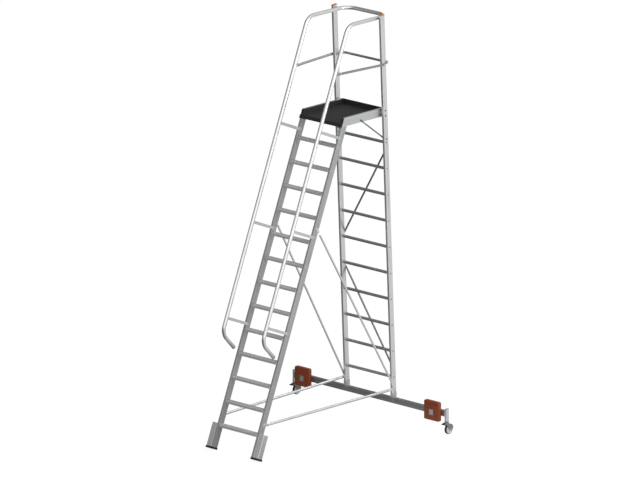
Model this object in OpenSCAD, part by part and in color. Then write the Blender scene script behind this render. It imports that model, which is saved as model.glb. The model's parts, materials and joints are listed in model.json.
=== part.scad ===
// Rolling warehouse platform ladder: a step ladder and a rung frame joined by a platform,
// with guard rails, a rear traverse on two swivel castors and two ballast blocks.
// Millimetres. +Z up, +Y from the climber's feet towards the rear frame, +X the climber's right.
// The origin is the centre of the footprint on the floor.

/* [Ladder] */
// Angle of the front ladder above the floor, degrees
ladder_angle = 67.6; // [66.5:0.1:68.5]
// Height from one step to the next
step_rise = 234.5; // [230:0.5:238]
// Number of steps below the platform
step_count = 13; // [12:1:13]
// Height of the lowest step's front lower edge
first_step_z = 238.5; // [230:0.5:245]
// Clear width between the front stiles
ladder_inner_w = 534; // [500:1:560]
// Width of a stile across the ladder
stile_w = 26; // [24:1:28]
// Depth of a front stile
stile_d = 70; // [66:1:74]
// Wall thickness of the stiles
stile_wall = 2; // [1.6:0.1:2.5]
// Depth of a step's tread
tread_d = 75; // [70:1:76]
// Height of a step's front face
tread_h = 22; // [20:1:26]

/* [Rear frame] */
// Forward lean of the rear frame, degrees
rear_lean = 2.72; // [2:0.01:3.2]
// Distance from the ladder's foot line to the rear frame's front face, at the floor
rear_foot_y = 2033; // [2000:1:2060]
// Gap between the front stiles' outer faces and the rear stiles' inner faces
side_gap = 23; // [20:1:26]
// Depth of a rear stile
rear_d = 62; // [58:1:66]
// Number of rear rungs
rung_count = 10; // [9:1:10]
// Height from one rear rung to the next
rung_pitch = 280; // [270:1:285]
// Height of the lowest rear rung's axis
first_rung_z = 472; // [465:1:480]
// Width of a rear rung's square section
rung_w = 26; // [24:1:30]
// Height of the rear stiles' upper ends
rear_top_z = 4337; // [4320:1:4360]

/* [Platform] */
// Height of a platform side rail
rail_h = 88; // [80:1:92]
// Height of the deck's upstands above the standing surface
upstand_h = 54; // [48:1:56]
// Thickness of the deck sheet
deck_t = 3; // [2.5:0.1:4]

/* [Guard rails] */
// Outer diameter of the handrail tube
handrail_od = 40; // [36:0.5:42]
// Handrail tube axis, measured square to the ladder from its front face
handrail_stand = 300; // [285:1:310]
// Height of the guard rail's axis above the deck
guard_h = 1012; // [1000:1:1020]
// Centre line radius of the tube bends
bend_r = 130; // [110:1:140]
// Outer diameter of the knee rails
knee_od = 25; // [22:0.5:27]
// Height of the knee rails above the deck
knee_h = 528; // [500:1:550]

/* [Base] */
// Length of the traverse between the castor posts
traverse_len = 2118; // [2060:1:2160]
// Height of the traverse section
traverse_h = 60; // [56:1:64]
// Depth of the traverse section
traverse_d = 40; // [38:1:42]
// Height of the traverse's lower face
traverse_z = 192; // [188:1:196]
// Outer diameter of the base bars and side braces
brace_od = 27; // [22:0.5:28]
// Width and height of a ballast block
ballast_w = 204; // [190:1:208]
// Thickness of a ballast block
ballast_t = 42; // [38:1:46]
// Distance of a ballast block's centre from the middle
ballast_x = 912; // [890:1:925]

/* [Castors] */
// Wheel radius at the tread
wheel_r = 52.5; // [50:0.5:53]
// Width of the tyre
wheel_w = 30; // [28:0.5:30]
// Distance of the wheel axle behind the swivel axis
trail = 30; // [26:1:34]
// Radial clearance of every turning fit
run_clear = 0.05; // [0.02:0.01:0.1]

/* [Hidden] */

$fn = 48;
hull_fn = 24;

// colours
front_grey = [0.62, 0.63, 0.64];
rear_grey = [0.74, 0.75, 0.76];
bright = [0.88, 0.89, 0.9];
steel = [0.6, 0.62, 0.65];
black = [0.13, 0.13, 0.14];
orange = [0.85, 0.33, 0.08];
dark_grey = [0.3, 0.31, 0.32];
pale_grey = [0.8, 0.8, 0.78];

// front ladder
tilt = 90 - ladder_angle;
inner_x = ladder_inner_w / 2;
outer_x = inner_x + stile_w;
stile_x = inner_x + stile_w / 2;
foot_y = -38.8;
step_set_back = 1;
step_web = 2.4;
step_boss_r = 5.5;
rivet_r = 3;
rivet_hole_r = 3.2;
rivet_head_r = 6;
rivet_head_h = 2.5;
foot_w = 70;
foot_d = 66;
foot_top = 298;
foot_wall = 6;
foot_set_back = 2;
foot_groove_w = 8;
foot_groove_d = 3.5;
foot_grooves = 3;
cap_lip = 4;
cap_h = 22;
cap_floor = 8;
cap_groove = 4;
// how far the floor cuts into the caps' rear lower edge, along the ladder
cap_cut = 3;
foot_low = (stile_d + cap_lip) * tan(tilt) - cap_cut;
fit = 0.2;

// rear frame
rear_in_x = outer_x + side_gap;
rear_out_x = rear_in_x + stile_w;
rear_x = rear_in_x + stile_w / 2;
rear_bottom_z = traverse_z + traverse_h + 6;
rung_inset = 16;
top_cap_h = 9;
top_cap_lip = 1;

// platform
step_top_z = first_step_z + tread_h + (step_count - 1) * step_rise;
deck_z = step_top_z + 220.5;
rail_top_z = deck_z + upstand_h;
rail_bottom_z = rail_top_z - rail_h;
rail_rear_y = rear_face_y(rail_top_z) + rear_d;
rail_wall = 2;
nose_drop = 34;
nose_out = 14;
strut_od = 15;

// guard rails
tube_wall = 2;
// the bends' section is a little larger than the straights', which run into it
swell = 0.4;
overlap = 0.8;
brace_wall = 1.8;
guard_z = deck_z + guard_h;
guard_back_y = 2000;
hand_x = stile_x;
splice_y = rear_face_y(guard_z) - 2;
knee_z = deck_z + knee_h;
knee_back_y = 1980;
flat_t = 4;
// round end of a flattened stretch, as a share of the tube it runs into
neck = 0.86;
bracket_steps = [4, 8, 12];
// height of each bracket above its step, measured up the ladder
bracket_offsets = [80, 80, 112];
bracket_w = 20;
bracket_h = 30;
bracket_wall = 2;
bracket_cheek = 3;
bracket_block = 26;
// depth of the bracket's bolt behind the stile's front face
bracket_bolt_d = 18;
knee_bend_r = 36;
// lower end of the handrails: height of the bend, length and direction of the tail
hand_low_z = 1211;
hand_tail = 250;
hand_tail_dir = [0, 0.682, -0.731];
lug_reach = 42;
lug_y = hand_y(knee_z) + lug_reach;

// base
traverse_y = rear_face_y(traverse_z + traverse_h) + 9;
traverse_wall = 3;
post_w = 25;
post_x = traverse_len / 2 + post_w / 2;
post_bottom_z = 147;
post_top_z = 275;
castor_y = traverse_y + traverse_d / 2;
ballast_z = 235;
ballast_r = 14;
saddle_t = 5;
saddle_top_z = 322;
foot_bolt_z = 346;

// bolts
bolt_r = 4;
bolt_hole_r = 4.3;
// gap between faces that a bolt pulls together
seat = 0.1;

// [y, z] of the bolts of the side brace and the base bar on a front stile
brace_top_z = 2258;
stile_bolt_d = stile_d * 0.62;
front_brace_points = [[ladder_face_y(brace_top_z) + stile_bolt_d, brace_top_z],
    [ladder_face_y(foot_bolt_z) + stile_bolt_d, foot_bolt_z]];

// [y, z] of the bolts through the rear stiles
strut_rear_z = 3029;
strut_front = [1588, rail_bottom_z + 20];
brace_foot = rear_mid(foot_bolt_z);
strut_rear = rear_mid(strut_rear_z);
knee_bolt = rear_mid(knee_z);
guard_bolt = [rear_face_y(guard_z) + rear_d * 0.3, guard_z];
rail_bolts = [rear_mid(rail_bottom_z + 16), rear_mid(rail_top_z - 18)];
saddle_bolt_points = [rear_mid(276), rear_mid(305)];
rear_bolt_points = concat([brace_foot, strut_rear, knee_bolt, guard_bolt], rail_bolts,
    saddle_bolt_points);

// diagonals across the back: heights of the left and right ends
diag_upper = [1894, 2948];
diag_lower = [1550, 516];
diag_od = 20;
diag_t = 3;
diag_w = 22;

// deck
deck_front_y = ladder_face_y(deck_z);
deck_rivet_r = 2;
deck_rivet_head_r = 5;
deck_rivet_sink = 1.8;
deck_rivet_xs = [-210, -70, 70, 210];
deck_beam_ys = [deck_front_y + 130, deck_front_y + 420];
beam_w = 36;
beam_h = 25;
cover_t = 4;

// ballast
ballast_bolt_r = 5;
ballast_hole_r = 5.3;
plate_w = 56;
plate_h = 60;
plate_t = 9;
plate_out = 3;

// castors
post_wall = 2.5;
// outline of a fork leg, [y, z] from the swivel axis and the floor
fork_leg_points = [[-21, 114], [28, 114], [50, 109], [66, 98], [76, 83], [80, 66], [74, 56],
    [46, 42], [30, 39.5], [19, 45], [16, 60], [-4, 92], [-21, 104]];
axle_r = 6;
hub_rim_r = 45;
pin_r = 8;
fork_leg_t = 3;
fork_in_x = 17.4;
crown_z = 108;
crown_t = 6;
head_top_z = 141;
head_r = 23;
pedal_y = -30;
pedal_z = 121;
pedal_pin_r = 2.5;

// middle of the footprint, which is the origin
// (the caps' front lower edge reaches furthest forward)
front_edge_y = foot_y - cap_lip * cos(tilt) + foot_low * sin(tilt);
rear_edge_y = castor_y + trail + wheel_r;
row_y = (front_edge_y + rear_edge_y) / 2;

// y of the front ladder's front face and of the rear frame's front face at a height
function ladder_face_y(z) = foot_y + z * tan(tilt);
function rear_face_y(z) = rear_foot_y - z * tan(rear_lean);
// [y, z] on the middle line of a rear stile's side
function rear_mid(z) = [rear_face_y(z) + rear_d * 0.5, z];
// y of the handrails' axis at a height
function hand_y(z) = foot_y - handrail_stand * cos(tilt)
    + (z - handrail_stand * sin(tilt)) * tan(tilt);
function step_z(i) = first_step_z + i * step_rise;
function rung_z(i) = first_rung_z + i * rung_pitch;
function unit(v) = v / norm(v);
// turn from direction a to direction b, degrees
function turn(a, b) = acos(min(1, max(-1, a * b)));
function tangent_len(a, b, r) = r * tan(turn(a, b) / 2);

// ---------- placing ----------

module in_row() {
    translate([0, -row_y, 0]) children();
}

// local Z runs up the front ladder, local Y square into it, origin on its front face at the floor
module in_ladder() {
    translate([0, foot_y, 0]) rotate([-tilt, 0, 0]) children();
}

// local Z runs up the rear frame, local Y square into it
module in_rear() {
    translate([0, rear_foot_y, 0]) rotate([rear_lean, 0, 0]) children();
}

module side(s) {
    if (s < 0) mirror([1, 0, 0]) children();
    else children();
}

module both_sides() {
    for (s = [-1, 1]) side(s) children();
}

// a rod along X from x0 to x1
module rod_x(x0, x1, r) {
    translate([x0, 0, 0]) rotate([0, 90, 0]) cylinder(h = x1 - x0, r = r);
}

module rod_y(y0, y1, r) {
    translate([0, y0, 0]) rotate([-90, 0, 0]) cylinder(h = y1 - y0, r = r);
}

// a solid between two points, made from a section drawn about the axis
module run(p, q) {
    d = q - p;
    translate(p) rotate([0, acos(d[2] / norm(d)), atan2(d[1], d[0])])
        linear_extrude(height = norm(d)) children();
}

module ring(od, id) {
    difference() {
        circle(d = od);
        circle(d = id);
    }
}

// a bend of the tube at corner c, from direction a to direction b
module bend(c, a, b, r) {
    t = tangent_len(a, b, r);
    n = unit(b - (a * b) * a);
    start = c - a * t;
    centre = start + n * r;
    z = cross(-n, a);
    multmatrix([[-n[0], a[0], z[0], centre[0]],
                [-n[1], a[1], z[1], centre[1]],
                [-n[2], a[2], z[2], centre[2]],
                [0, 0, 0, 1]])
        rotate_extrude(angle = turn(a, b)) translate([r, 0]) children();
}

module rounded_rect(w, h, r) {
    translate([r, 0]) square([w - 2 * r, h]);
    translate([0, r]) square([w, h - 2 * r]);
    for (x = [r, w - r]) {
        for (y = [r, h - r]) {
            translate([x, y]) circle(r = r);
        }
    }
}

// hollow rectangular section with rounded outer corners
module box_section(w, d, wall) {
    difference() {
        rounded_rect(w, d, 3);
        translate([wall, wall]) square([w - 2 * wall, d - 2 * wall]);
    }
}

// hexagon-headed bolt along +X: the head's flat lies at x = 0, the shank runs inwards to -grip
module bolt_x(r, grip) {
    rotate([0, 90, 0]) cylinder(h = r * 1.1, r = r * 1.75, $fn = 6);
    rod_x(-grip, 0, r);
    translate([-grip - r * 0.9, 0, 0]) rotate([0, 90, 0]) cylinder(h = r * 0.9, r = r * 1.75, $fn = 6);
}

// ---------- front ladder ----------

module stile_section() {
    box_section(stile_w, stile_d, stile_wall);
    // inner stiffening ribs
    for (y = [stile_d * 0.3, stile_d * 0.7]) {
        translate([stile_wall / 2, y - 0.8]) square([2.5, 1.6]);
    }
}

module front_stile(s) {
    color(front_grey) in_row() side(s) difference() {
        in_ladder() translate([inner_x, 0, foot_low + cap_floor + seat])
            linear_extrude(height = rail_bottom_z / cos(tilt)) stile_section();
        translate([inner_x - 10, ladder_face_y(rail_bottom_z) - 80, rail_bottom_z])
            cube([stile_w + 20, 260, 200]);
        for (i = [0 : step_count - 1]) {
            step_rivet_at(i) rod_x(inner_x - 5, outer_x + 5, rivet_hole_r);
        }
        for (i = bracket_steps) {
            bracket_at(i) translate([0, bracket_bolt_d, 0]) rod_x(inner_x - 5, outer_x + 5, bolt_hole_r);
        }
        for (p = front_brace_points) {
            translate([0, p[0], p[1]]) rod_x(inner_x - 5, outer_x + 5, bolt_hole_r);
        }
    }
}

// centre of a step's rivet, on the ladder's middle plane
module step_rivet_at(i) {
    z = step_z(i);
    translate([0, ladder_face_y(z) + step_set_back + tread_d * 0.45, z + tread_h - 11]) children();
}

module step_section() {
    w = tread_d;
    h = tread_h;
    difference() {
        square([w, h]);
        translate([step_web, -1]) square([w - 2 * step_web, h + 1 - step_web]);
        // anti-slip grooves in the tread
        for (i = [0 : 8]) {
            translate([7 + i * (w - 14) / 8 - 1.5, h - 1.1]) square([3, 2]);
        }
    }
    // inward lips along the lower edges
    translate([step_web / 2, 0]) square([8, step_web]);
    translate([w - step_web / 2 - 8, 0]) square([8, step_web]);
    // rivet channel with its web
    difference() {
        union() {
            translate([w * 0.45, h - 11]) circle(r = step_boss_r);
            translate([w * 0.45 - 1.2, h - 11]) square([2.4, 10]);
        }
        translate([w * 0.45, h - 11]) circle(r = rivet_hole_r);
    }
}

// a section drawn in Y (first axis) and Z (second axis), extruded along X
module extrude_x(x0, x1) {
    translate([x0, 0, 0]) rotate([90, 0, 90]) linear_extrude(height = x1 - x0) children();
}

module front_steps() {
    color(front_grey) in_row() {
        for (i = [0 : step_count - 1]) {
            z = step_z(i);
            translate([0, ladder_face_y(z) + step_set_back, z])
                extrude_x(-inner_x, inner_x) step_section();
        }
    }
}

module rivet_x(x0, x1) {
    rod_x(x0, x1, rivet_r);
    rod_x(x1, x1 + 1.2, rivet_head_r);
    translate([x1 + 1.2, 0, 0]) rotate([0, 90, 0])
        cylinder(h = rivet_head_h - 1.2, r1 = rivet_head_r, r2 = rivet_head_r * 0.55);
}

module step_rivets() {
    color(steel) in_row() both_sides() {
        for (i = [0 : step_count - 1]) {
            step_rivet_at(i) rivet_x(inner_x - 18, outer_x);
        }
    }
}

// ribbed foot profile beside a front stile
module foot_section() {
    difference() {
        rounded_rect(foot_w, foot_d, 3);
        translate([foot_wall, foot_wall]) square([foot_w - 2 * foot_wall, foot_d - 2 * foot_wall]);
        for (i = [1 : foot_grooves]) {
            x = i * foot_w / (foot_grooves + 1) - foot_groove_w / 2;
            y = i * foot_d / (foot_grooves + 1) - foot_groove_w / 2;
            translate([x, -1]) square([foot_groove_w, foot_groove_d + 1]);
            translate([x, foot_d - foot_groove_d]) square([foot_groove_w, foot_groove_d + 1]);
            translate([foot_w - foot_groove_d, y]) square([foot_groove_d + 1, foot_groove_w]);
        }
    }
}

module foot_profile(s) {
    low = foot_low + cap_floor + seat;
    color(rear_grey) in_row() side(s) difference() {
        in_ladder() translate([outer_x, foot_set_back, low])
            linear_extrude(height = foot_top - low) foot_section();
        // room for the lowest step's rivet head
        step_rivet_at(0) rod_x(outer_x - 1, outer_x + foot_wall + 1, rivet_head_r + 0.4);
    }
}

// rubber cap square to the ladder, its rear lower edge cut flat where it stands on the floor
module foot_cap(s) {
    w = stile_w + foot_w;
    color(black) in_row() side(s) difference() {
        in_ladder() translate([inner_x - cap_lip, -cap_lip, foot_low])
            linear_extrude(height = cap_h)
            rounded_rect(w + 2 * cap_lip, stile_d + 2 * cap_lip, 6);
        in_ladder() translate([inner_x - fit, -fit, foot_low + cap_floor])
            cube([w + 2 * fit, stile_d + 2 * fit, cap_h]);
        translate([0, foot_y - 100, -100]) cube([2 * outer_x, 400, 100]);
        // grooves across the sole
        for (y = [12, 26, 40, 54]) {
            in_ladder() translate([inner_x - 30, y - cap_groove / 2, foot_low - 1])
                cube([w + 60, cap_groove, cap_groove / 2 + 1]);
        }
    }
}

// ---------- rear frame ----------

module rear_stile(s) {
    color(rear_grey) in_row() difference() {
        side(s) in_rear() translate([rear_in_x, 0, 200])
            linear_extrude(height = rear_top_z / cos(rear_lean) - 200)
            box_section(stile_w, rear_d, stile_wall);
        side(s) translate([rear_in_x - 10, rear_foot_y - 100, 0])
            cube([stile_w + 20, 250, rear_bottom_z]);
        diag_bolt_at(s) rod_y(-2 * stile_wall, stile_wall, bolt_hole_r);
        for (i = [0 : rung_count - 1]) {
            side(s) rung_at(i) rod_x(rear_in_x - 5, rear_out_x + 5, rivet_hole_r);
        }
        for (p = rear_bolt_points) {
            side(s) translate([0, p[0], p[1]]) rod_x(rear_in_x - 5, rear_out_x + 5, bolt_hole_r);
        }
    }
}

// centre of a rear rung
module rung_at(i) {
    z = rung_z(i);
    translate([0, rear_face_y(z) + rung_inset + rung_w / 2, z]) rotate([rear_lean, 0, 0]) children();
}

module rung_section() {
    w = rung_w;
    difference() {
        translate([-w / 2, -w / 2]) rounded_rect(w, w, 4);
        translate([-w / 2 + 1.8, -w / 2 + 1.8]) difference() {
            square([w - 3.6, w - 3.6]);
            translate([(w - 3.6) / 2 - 0.9, (w - 3.6) / 2]) square([1.8, w]);
            translate([(w - 3.6) / 2 - 0.9, -1]) square([1.8, w / 2]);
            translate([(w - 3.6) / 2, (w - 3.6) / 2]) circle(r = 5);
        }
        circle(r = rivet_hole_r);
        // anti-slip grooves on the top face
        for (i = [-2 : 2]) {
            translate([i * 3.6 - 0.9, w / 2 - 0.9]) square([1.8, 2]);
        }
    }
}

module rear_rungs() {
    color(rear_grey) in_row() {
        for (i = [0 : rung_count - 1]) {
            rung_at(i) extrude_x(-rear_in_x, rear_in_x) rung_section();
        }
    }
}

module rung_rivets() {
    color(steel) in_row() both_sides() {
        for (i = [0 : rung_count - 1]) {
            rung_at(i) rivet_x(rear_in_x - 18, rear_out_x);
        }
    }
}

module stile_cap(s) {
    top = rear_top_z / cos(rear_lean);
    color(orange) in_row() side(s) in_rear() {
        translate([rear_in_x - top_cap_lip, -top_cap_lip, top])
            linear_extrude(height = top_cap_h)
            rounded_rect(stile_w + 2 * top_cap_lip, rear_d + 2 * top_cap_lip, 4);
        translate([rear_in_x + stile_wall + fit, stile_wall + fit, top - 16])
            linear_extrude(height = 17)
            square([stile_w - 2 * stile_wall - 2 * fit, rear_d - 2 * stile_wall - 2 * fit]);
    }
}

// ---------- tubes with flattened ends ----------

// one flattened end in the YZ plane: bolt hole at p, running towards the tube at angle a
module flat_end(p, a, len, od, hole) {
    w = od * 1.25;
    translate(p) rotate([a, 0, 0]) {
        difference() {
            union() {
                translate([-flat_t / 2, 0, -w / 2]) cube([flat_t, len, w]);
                rod_x(-flat_t / 2, flat_t / 2, w / 2);
            }
            rod_x(-flat_t, flat_t, hole);
        }
        hull() {
            translate([0.1 - flat_t / 2, len - 1, 0.1 - w / 2]) cube([flat_t - 0.2, 1, w - 0.2]);
            translate([0, len + od * 0.9, 0]) rotate([-90, 0, 0])
                cylinder(h = 1, d = od * neck, $fn = hull_fn);
        }
    }
}

// tube whose bore stops short of both ends, where the flattened ends run into it
module closed_tube(from, to, od) {
    u = unit(to - from);
    difference() {
        run(from, to) circle(d = od);
        run(from + 3 * u, to - 3 * u) circle(d = od - 2 * brace_wall);
    }
}

// tube from bolt p to bolt q; both ends lie flat against faces square to X
module flat_tube(p, q, od, len_p, len_q) {
    a = atan2(q[2] - p[2], q[1] - p[1]);
    u = [0, cos(a), sin(a)];
    from = p + u * (len_p + od * 0.9 - 0.5);
    to = q - u * (len_q + od * 0.9 - 0.5);
    flat_end(p, a, len_p, od, bolt_hole_r);
    flat_end(q, a + 180, len_q, od, bolt_hole_r);
    closed_tube(from, to, od);
}

module side_brace(s) {
    top = front_brace_points[0];
    color(bright) in_row() side(s)
        flat_tube([outer_x + flat_t / 2 + seat, top[0], top[1]],
            [rear_out_x + flat_t * 1.5 + 3 * seat, brace_foot[0], brace_foot[1]],
            brace_od * 0.8, 52, 72);
}

module base_bar(s) {
    foot = front_brace_points[1];
    color(bright) in_row() side(s)
        flat_tube([outer_x + flat_t / 2 + seat, foot[0], foot[1]],
            [rear_out_x + flat_t / 2 + seat, brace_foot[0], brace_foot[1]],
            brace_od, 44, 40);
}

module brace_bolts() {
    color(steel) in_row() both_sides() {
        for (p = front_brace_points) {
            translate([outer_x + flat_t + 2 * seat, p[0], p[1]])
                bolt_x(bolt_r, stile_w + flat_t + 2 * seat);
        }
        translate([rear_out_x + 2 * flat_t + 4 * seat, brace_foot[0], brace_foot[1]])
            bolt_x(bolt_r, stile_w + 2 * flat_t + 4 * seat);
    }
    // diagonals' bolts
    color(steel) in_row() for (s = [-1, 1]) {
        diag_bolt_at(s) translate([0, diag_t + seat, 0]) rotate([0, 0, 90])
            bolt_x(bolt_r, diag_t + seat + stile_wall);
    }
}

// places on the rear stiles' back faces where the diagonals are bolted, s = -1 left, 1 right
module diag_bolt_at(s) {
    k = s < 0 ? 0 : 1;
    for (z = [diag_upper[k], diag_lower[k]]) {
        in_rear() translate([s * rear_x, rear_d, z / cos(rear_lean)]) children();
    }
}

// diagonal across the back of the rear frame, from the left end's height to the right end's
module rear_brace(ends) {
    rise = (ends[1] - ends[0]) / cos(rear_lean);
    len = norm([2 * rear_x, rise]);
    flat = 50;
    round_at = flat + diag_od;
    y = rear_d + seat + diag_t / 2;
    color(rear_grey) in_row() in_rear() translate([-rear_x, y, ends[0] / cos(rear_lean)])
        rotate([0, -atan2(rise, 2 * rear_x), 0]) {
            diag_end(flat, round_at);
            translate([len, 0, 0]) rotate([0, 180, 0]) diag_end(flat, round_at);
            closed_tube([round_at + 0.5, 0, 0], [len - round_at - 0.5, 0, 0], diag_od);
        }
}

// flattened end of a diagonal: bolt hole at the origin, tube towards +X
module diag_end(flat, round_at) {
    difference() {
        union() {
            translate([0, -diag_t / 2, -diag_w / 2]) cube([flat, diag_t, diag_w]);
            rod_y(-diag_t / 2, diag_t / 2, diag_w / 2);
        }
        rod_y(-diag_t, diag_t, bolt_hole_r);
    }
    hull() {
        translate([flat - 1, 0.1 - diag_t / 2, 0.1 - diag_w / 2]) cube([1, diag_t - 0.2, diag_w - 0.2]);
        translate([round_at, 0, 0]) rotate([0, 90, 0])
            cylinder(h = 1, d = diag_od * neck, $fn = hull_fn);
    }
}

// ---------- platform ----------

module platform_rail(s) {
    y0 = ladder_face_y(rail_bottom_z);
    color(rear_grey) in_row() side(s) difference() {
        extrude_x(inner_x, outer_x)
            polygon([[y0, rail_bottom_z], [rail_rear_y, rail_bottom_z],
                [rail_rear_y, rail_top_z], [ladder_face_y(rail_top_z), rail_top_z]]);
        translate([inner_x + rail_wall, y0 - 50, rail_bottom_z + rail_wall])
            cube([stile_w - 2 * rail_wall, 800, rail_h - 2 * rail_wall]);
        for (p = rail_bolts) {
            translate([0, p[0], p[1]]) rod_x(inner_x - 5, outer_x + 5, bolt_hole_r);
        }
        translate([0, strut_front[0], strut_front[1]]) rod_x(inner_x - 5, outer_x + 5, bolt_hole_r);
    }
}

module beam_section() {
    difference() {
        square([beam_w, beam_h]);
        translate([deck_t, -1]) square([beam_w - 2 * deck_t, beam_h + 1 - deck_t]);
    }
}

// front cover of a side rail, reaching the given depth behind the ladder's front face line
module cover_outline(depth) {
    low = deck_z - 4;
    high = rail_top_z - 6;
    polygon([[ladder_face_y(low) + depth, low],
        [ladder_face_y(low) - cover_t, low],
        [ladder_face_y(high) - cover_t, high],
        [ladder_face_y(rail_top_z), rail_top_z],
        [ladder_face_y(rail_top_z) + depth, rail_top_z]]);
}

module platform_deck() {
    color(black) in_row() difference() {
        union() {
            // standing surface
            translate([-inner_x, deck_front_y, deck_z - deck_t])
                cube([2 * inner_x, rail_rear_y - deck_front_y, deck_t]);
            // side upstands, their front ends parallel to the ladder
            for (x = [-inner_x, inner_x - deck_t]) {
                extrude_x(x, x + deck_t) polygon([[deck_front_y, deck_z - 1],
                    [rail_rear_y, deck_z - 1], [rail_rear_y, rail_top_z],
                    [ladder_face_y(rail_top_z) + 2, rail_top_z],
                    [deck_front_y + 2, deck_z]]);
            }
            // rear upstand
            translate([-inner_x, rail_rear_y - deck_t, deck_z - 1])
                cube([2 * inner_x, deck_t, upstand_h + 1]);
            // nosing: a bent lip ahead of the stiles
            extrude_x(-outer_x, outer_x) polygon([
                [ladder_face_y(deck_z), deck_z], [ladder_face_y(deck_z) - nose_out, deck_z],
                [ladder_face_y(deck_z - 6) - nose_out - 2, deck_z - 6],
                [ladder_face_y(deck_z - nose_drop) - nose_out, deck_z - nose_drop],
                [ladder_face_y(deck_z - nose_drop) - nose_out + 4, deck_z - nose_drop],
                [ladder_face_y(deck_z - 5) - nose_out + 4, deck_z - 5],
                [ladder_face_y(deck_z - 5), deck_z - 5]]);
            translate([-inner_x, deck_front_y - 6, deck_z - deck_t])
                cube([2 * inner_x, 8, deck_t]);
            // covers over the side rails' front ends, joined to the upstands
            for (s = [-1, 1]) {
                side(s) extrude_x(inner_x, outer_x) cover_outline(0);
                side(s) extrude_x(inner_x - deck_t, inner_x) cover_outline(cover_t);
            }
            // stiffening beams under the sheet
            for (y = deck_beam_ys) {
                extrude_x(-inner_x, inner_x) translate([y, deck_z - deck_t + 1 - beam_h])
                    beam_section();
            }
        }
        for (x = deck_rivet_xs) {
            for (y = deck_beam_ys) {
                translate([x, y + beam_w / 2, deck_z]) deck_rivet_hole();
            }
        }
        for (p = rail_bolts) {
            translate([0, p[0], p[1]]) rod_x(-inner_x - 5, inner_x + 5, bolt_hole_r);
        }
        // drain holes
        for (x = [-140, 0, 140]) {
            for (y = [70, 210, 350]) {
                translate([x, deck_front_y + y + 10, deck_z - 10]) cylinder(h = 20, r = 5);
            }
        }
    }
}

// countersunk hole for a deck rivet, its top at the standing surface
module deck_rivet_hole() {
    translate([0, 0, -10]) cylinder(h = 10, r = deck_rivet_r + fit);
    translate([0, 0, -deck_rivet_sink])
        cylinder(h = deck_rivet_sink + fit, r1 = deck_rivet_r + fit, r2 = deck_rivet_head_r + 2 * fit);
}

module deck_rivet() {
    translate([0, 0, -7]) cylinder(h = 6, r = deck_rivet_r);
    translate([0, 0, -deck_rivet_sink])
        cylinder(h = deck_rivet_sink, r1 = deck_rivet_r, r2 = deck_rivet_head_r);
}

module platform_bolts() {
    color(steel) in_row() {
        both_sides() {
            translate([rear_out_x, rail_bolts[0][0], rail_bolts[0][1]])
                bolt_x(bolt_r, rear_out_x - inner_x);
            translate([rear_out_x, rail_bolts[1][0], rail_bolts[1][1]])
                bolt_x(bolt_r, rear_out_x - inner_x + deck_t);
            translate([outer_x + flat_t + 2 * seat, strut_front[0], strut_front[1]])
                bolt_x(bolt_r, stile_w + flat_t + 2 * seat);
            translate([rear_out_x, strut_rear[0], strut_rear[1]])
                bolt_x(bolt_r, stile_w + flat_t + 2 * seat);
        }
        // rivets through the deck
        for (x = deck_rivet_xs) {
            for (y = deck_beam_ys) {
                translate([x, y + beam_w / 2, deck_z]) deck_rivet();
            }
        }
    }
}

module spacer(x0, x1, y, z) {
    translate([x0, y, z]) rotate([0, 90, 0]) linear_extrude(height = x1 - x0) ring(18, 2 * bolt_hole_r);
}

module platform_spacers() {
    color(black) in_row() both_sides() {
        for (p = rail_bolts) {
            spacer(outer_x, rear_in_x - seat, p[0], p[1]);
        }
        spacer(hand_x + handrail_od / 2, rear_in_x - seat, guard_bolt[0], guard_bolt[1]);
    }
}

module platform_strut(s) {
    color(rear_grey) in_row() side(s)
        flat_tube([outer_x + flat_t / 2 + seat, strut_front[0], strut_front[1]],
            [rear_in_x - flat_t / 2 - seat, strut_rear[0], strut_rear[1]],
            strut_od, 48, 50);
}

// ---------- guard rails ----------

function hand_points(x) = [
    [x, hand_y(hand_low_z), hand_low_z] + hand_tail * hand_tail_dir,
    [x, hand_y(hand_low_z), hand_low_z],
    [x, hand_y(guard_z), guard_z]];

// tube through the points, rounded at each inner point
module tube_path(pts, r, od, wall) {
    n = len(pts);
    for (i = [0 : n - 2]) {
        u = unit(pts[i + 1] - pts[i]);
        cut_a = i == 0 ? 0 : tangent_len(unit(pts[i] - pts[i - 1]), u, r);
        cut_b = i == n - 2 ? 0 : tangent_len(u, unit(pts[i + 2] - pts[i + 1]), r);
        run(pts[i] + u * max(0, cut_a - overlap), pts[i + 1] - u * max(0, cut_b - overlap))
            ring(od, od - 2 * wall);
    }
    if (n > 2) {
        for (i = [1 : n - 2]) {
            bend(pts[i], unit(pts[i] - pts[i - 1]), unit(pts[i + 1] - pts[i]), r)
                ring(od + 2 * swell, od - 2 * wall - 2 * swell);
        }
    }
}

// lug behind the handrail that carries a knee rail
module lug(x) {
    difference() {
        union() {
            translate([x - flat_t / 2, hand_y(knee_z), knee_z - 13]) cube([flat_t, lug_reach, 26]);
            translate([0, lug_y, knee_z]) rod_x(x - flat_t / 2, x + flat_t / 2, 13);
        }
        in_ladder() translate([x, -handrail_stand, 3900]) cylinder(h = 500, r = handrail_od / 2 - 1);
        translate([0, lug_y, knee_z]) rod_x(x - 5, x + 5, bolt_hole_r);
    }
}

// plug closing the lower end of a handrail
module hand_end(x) {
    p = hand_points(x)[0];
    run(p - 4 * hand_tail_dir, p - hand_tail_dir) circle(d = handrail_od - tube_wall);
}

module guardrail_left() {
    pts = concat(hand_points(-hand_x), [[-hand_x, guard_back_y, guard_z],
        [hand_x, guard_back_y, guard_z], [hand_x, splice_y, guard_z]]);
    color(bright) in_row() {
        difference() {
            tube_path(pts, bend_r, handrail_od, tube_wall);
            translate([0, guard_bolt[0], guard_bolt[1]]) rod_x(-400, 400, bolt_hole_r);
        }
        lug(-hand_x);
        hand_end(-hand_x);
    }
}

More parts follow.
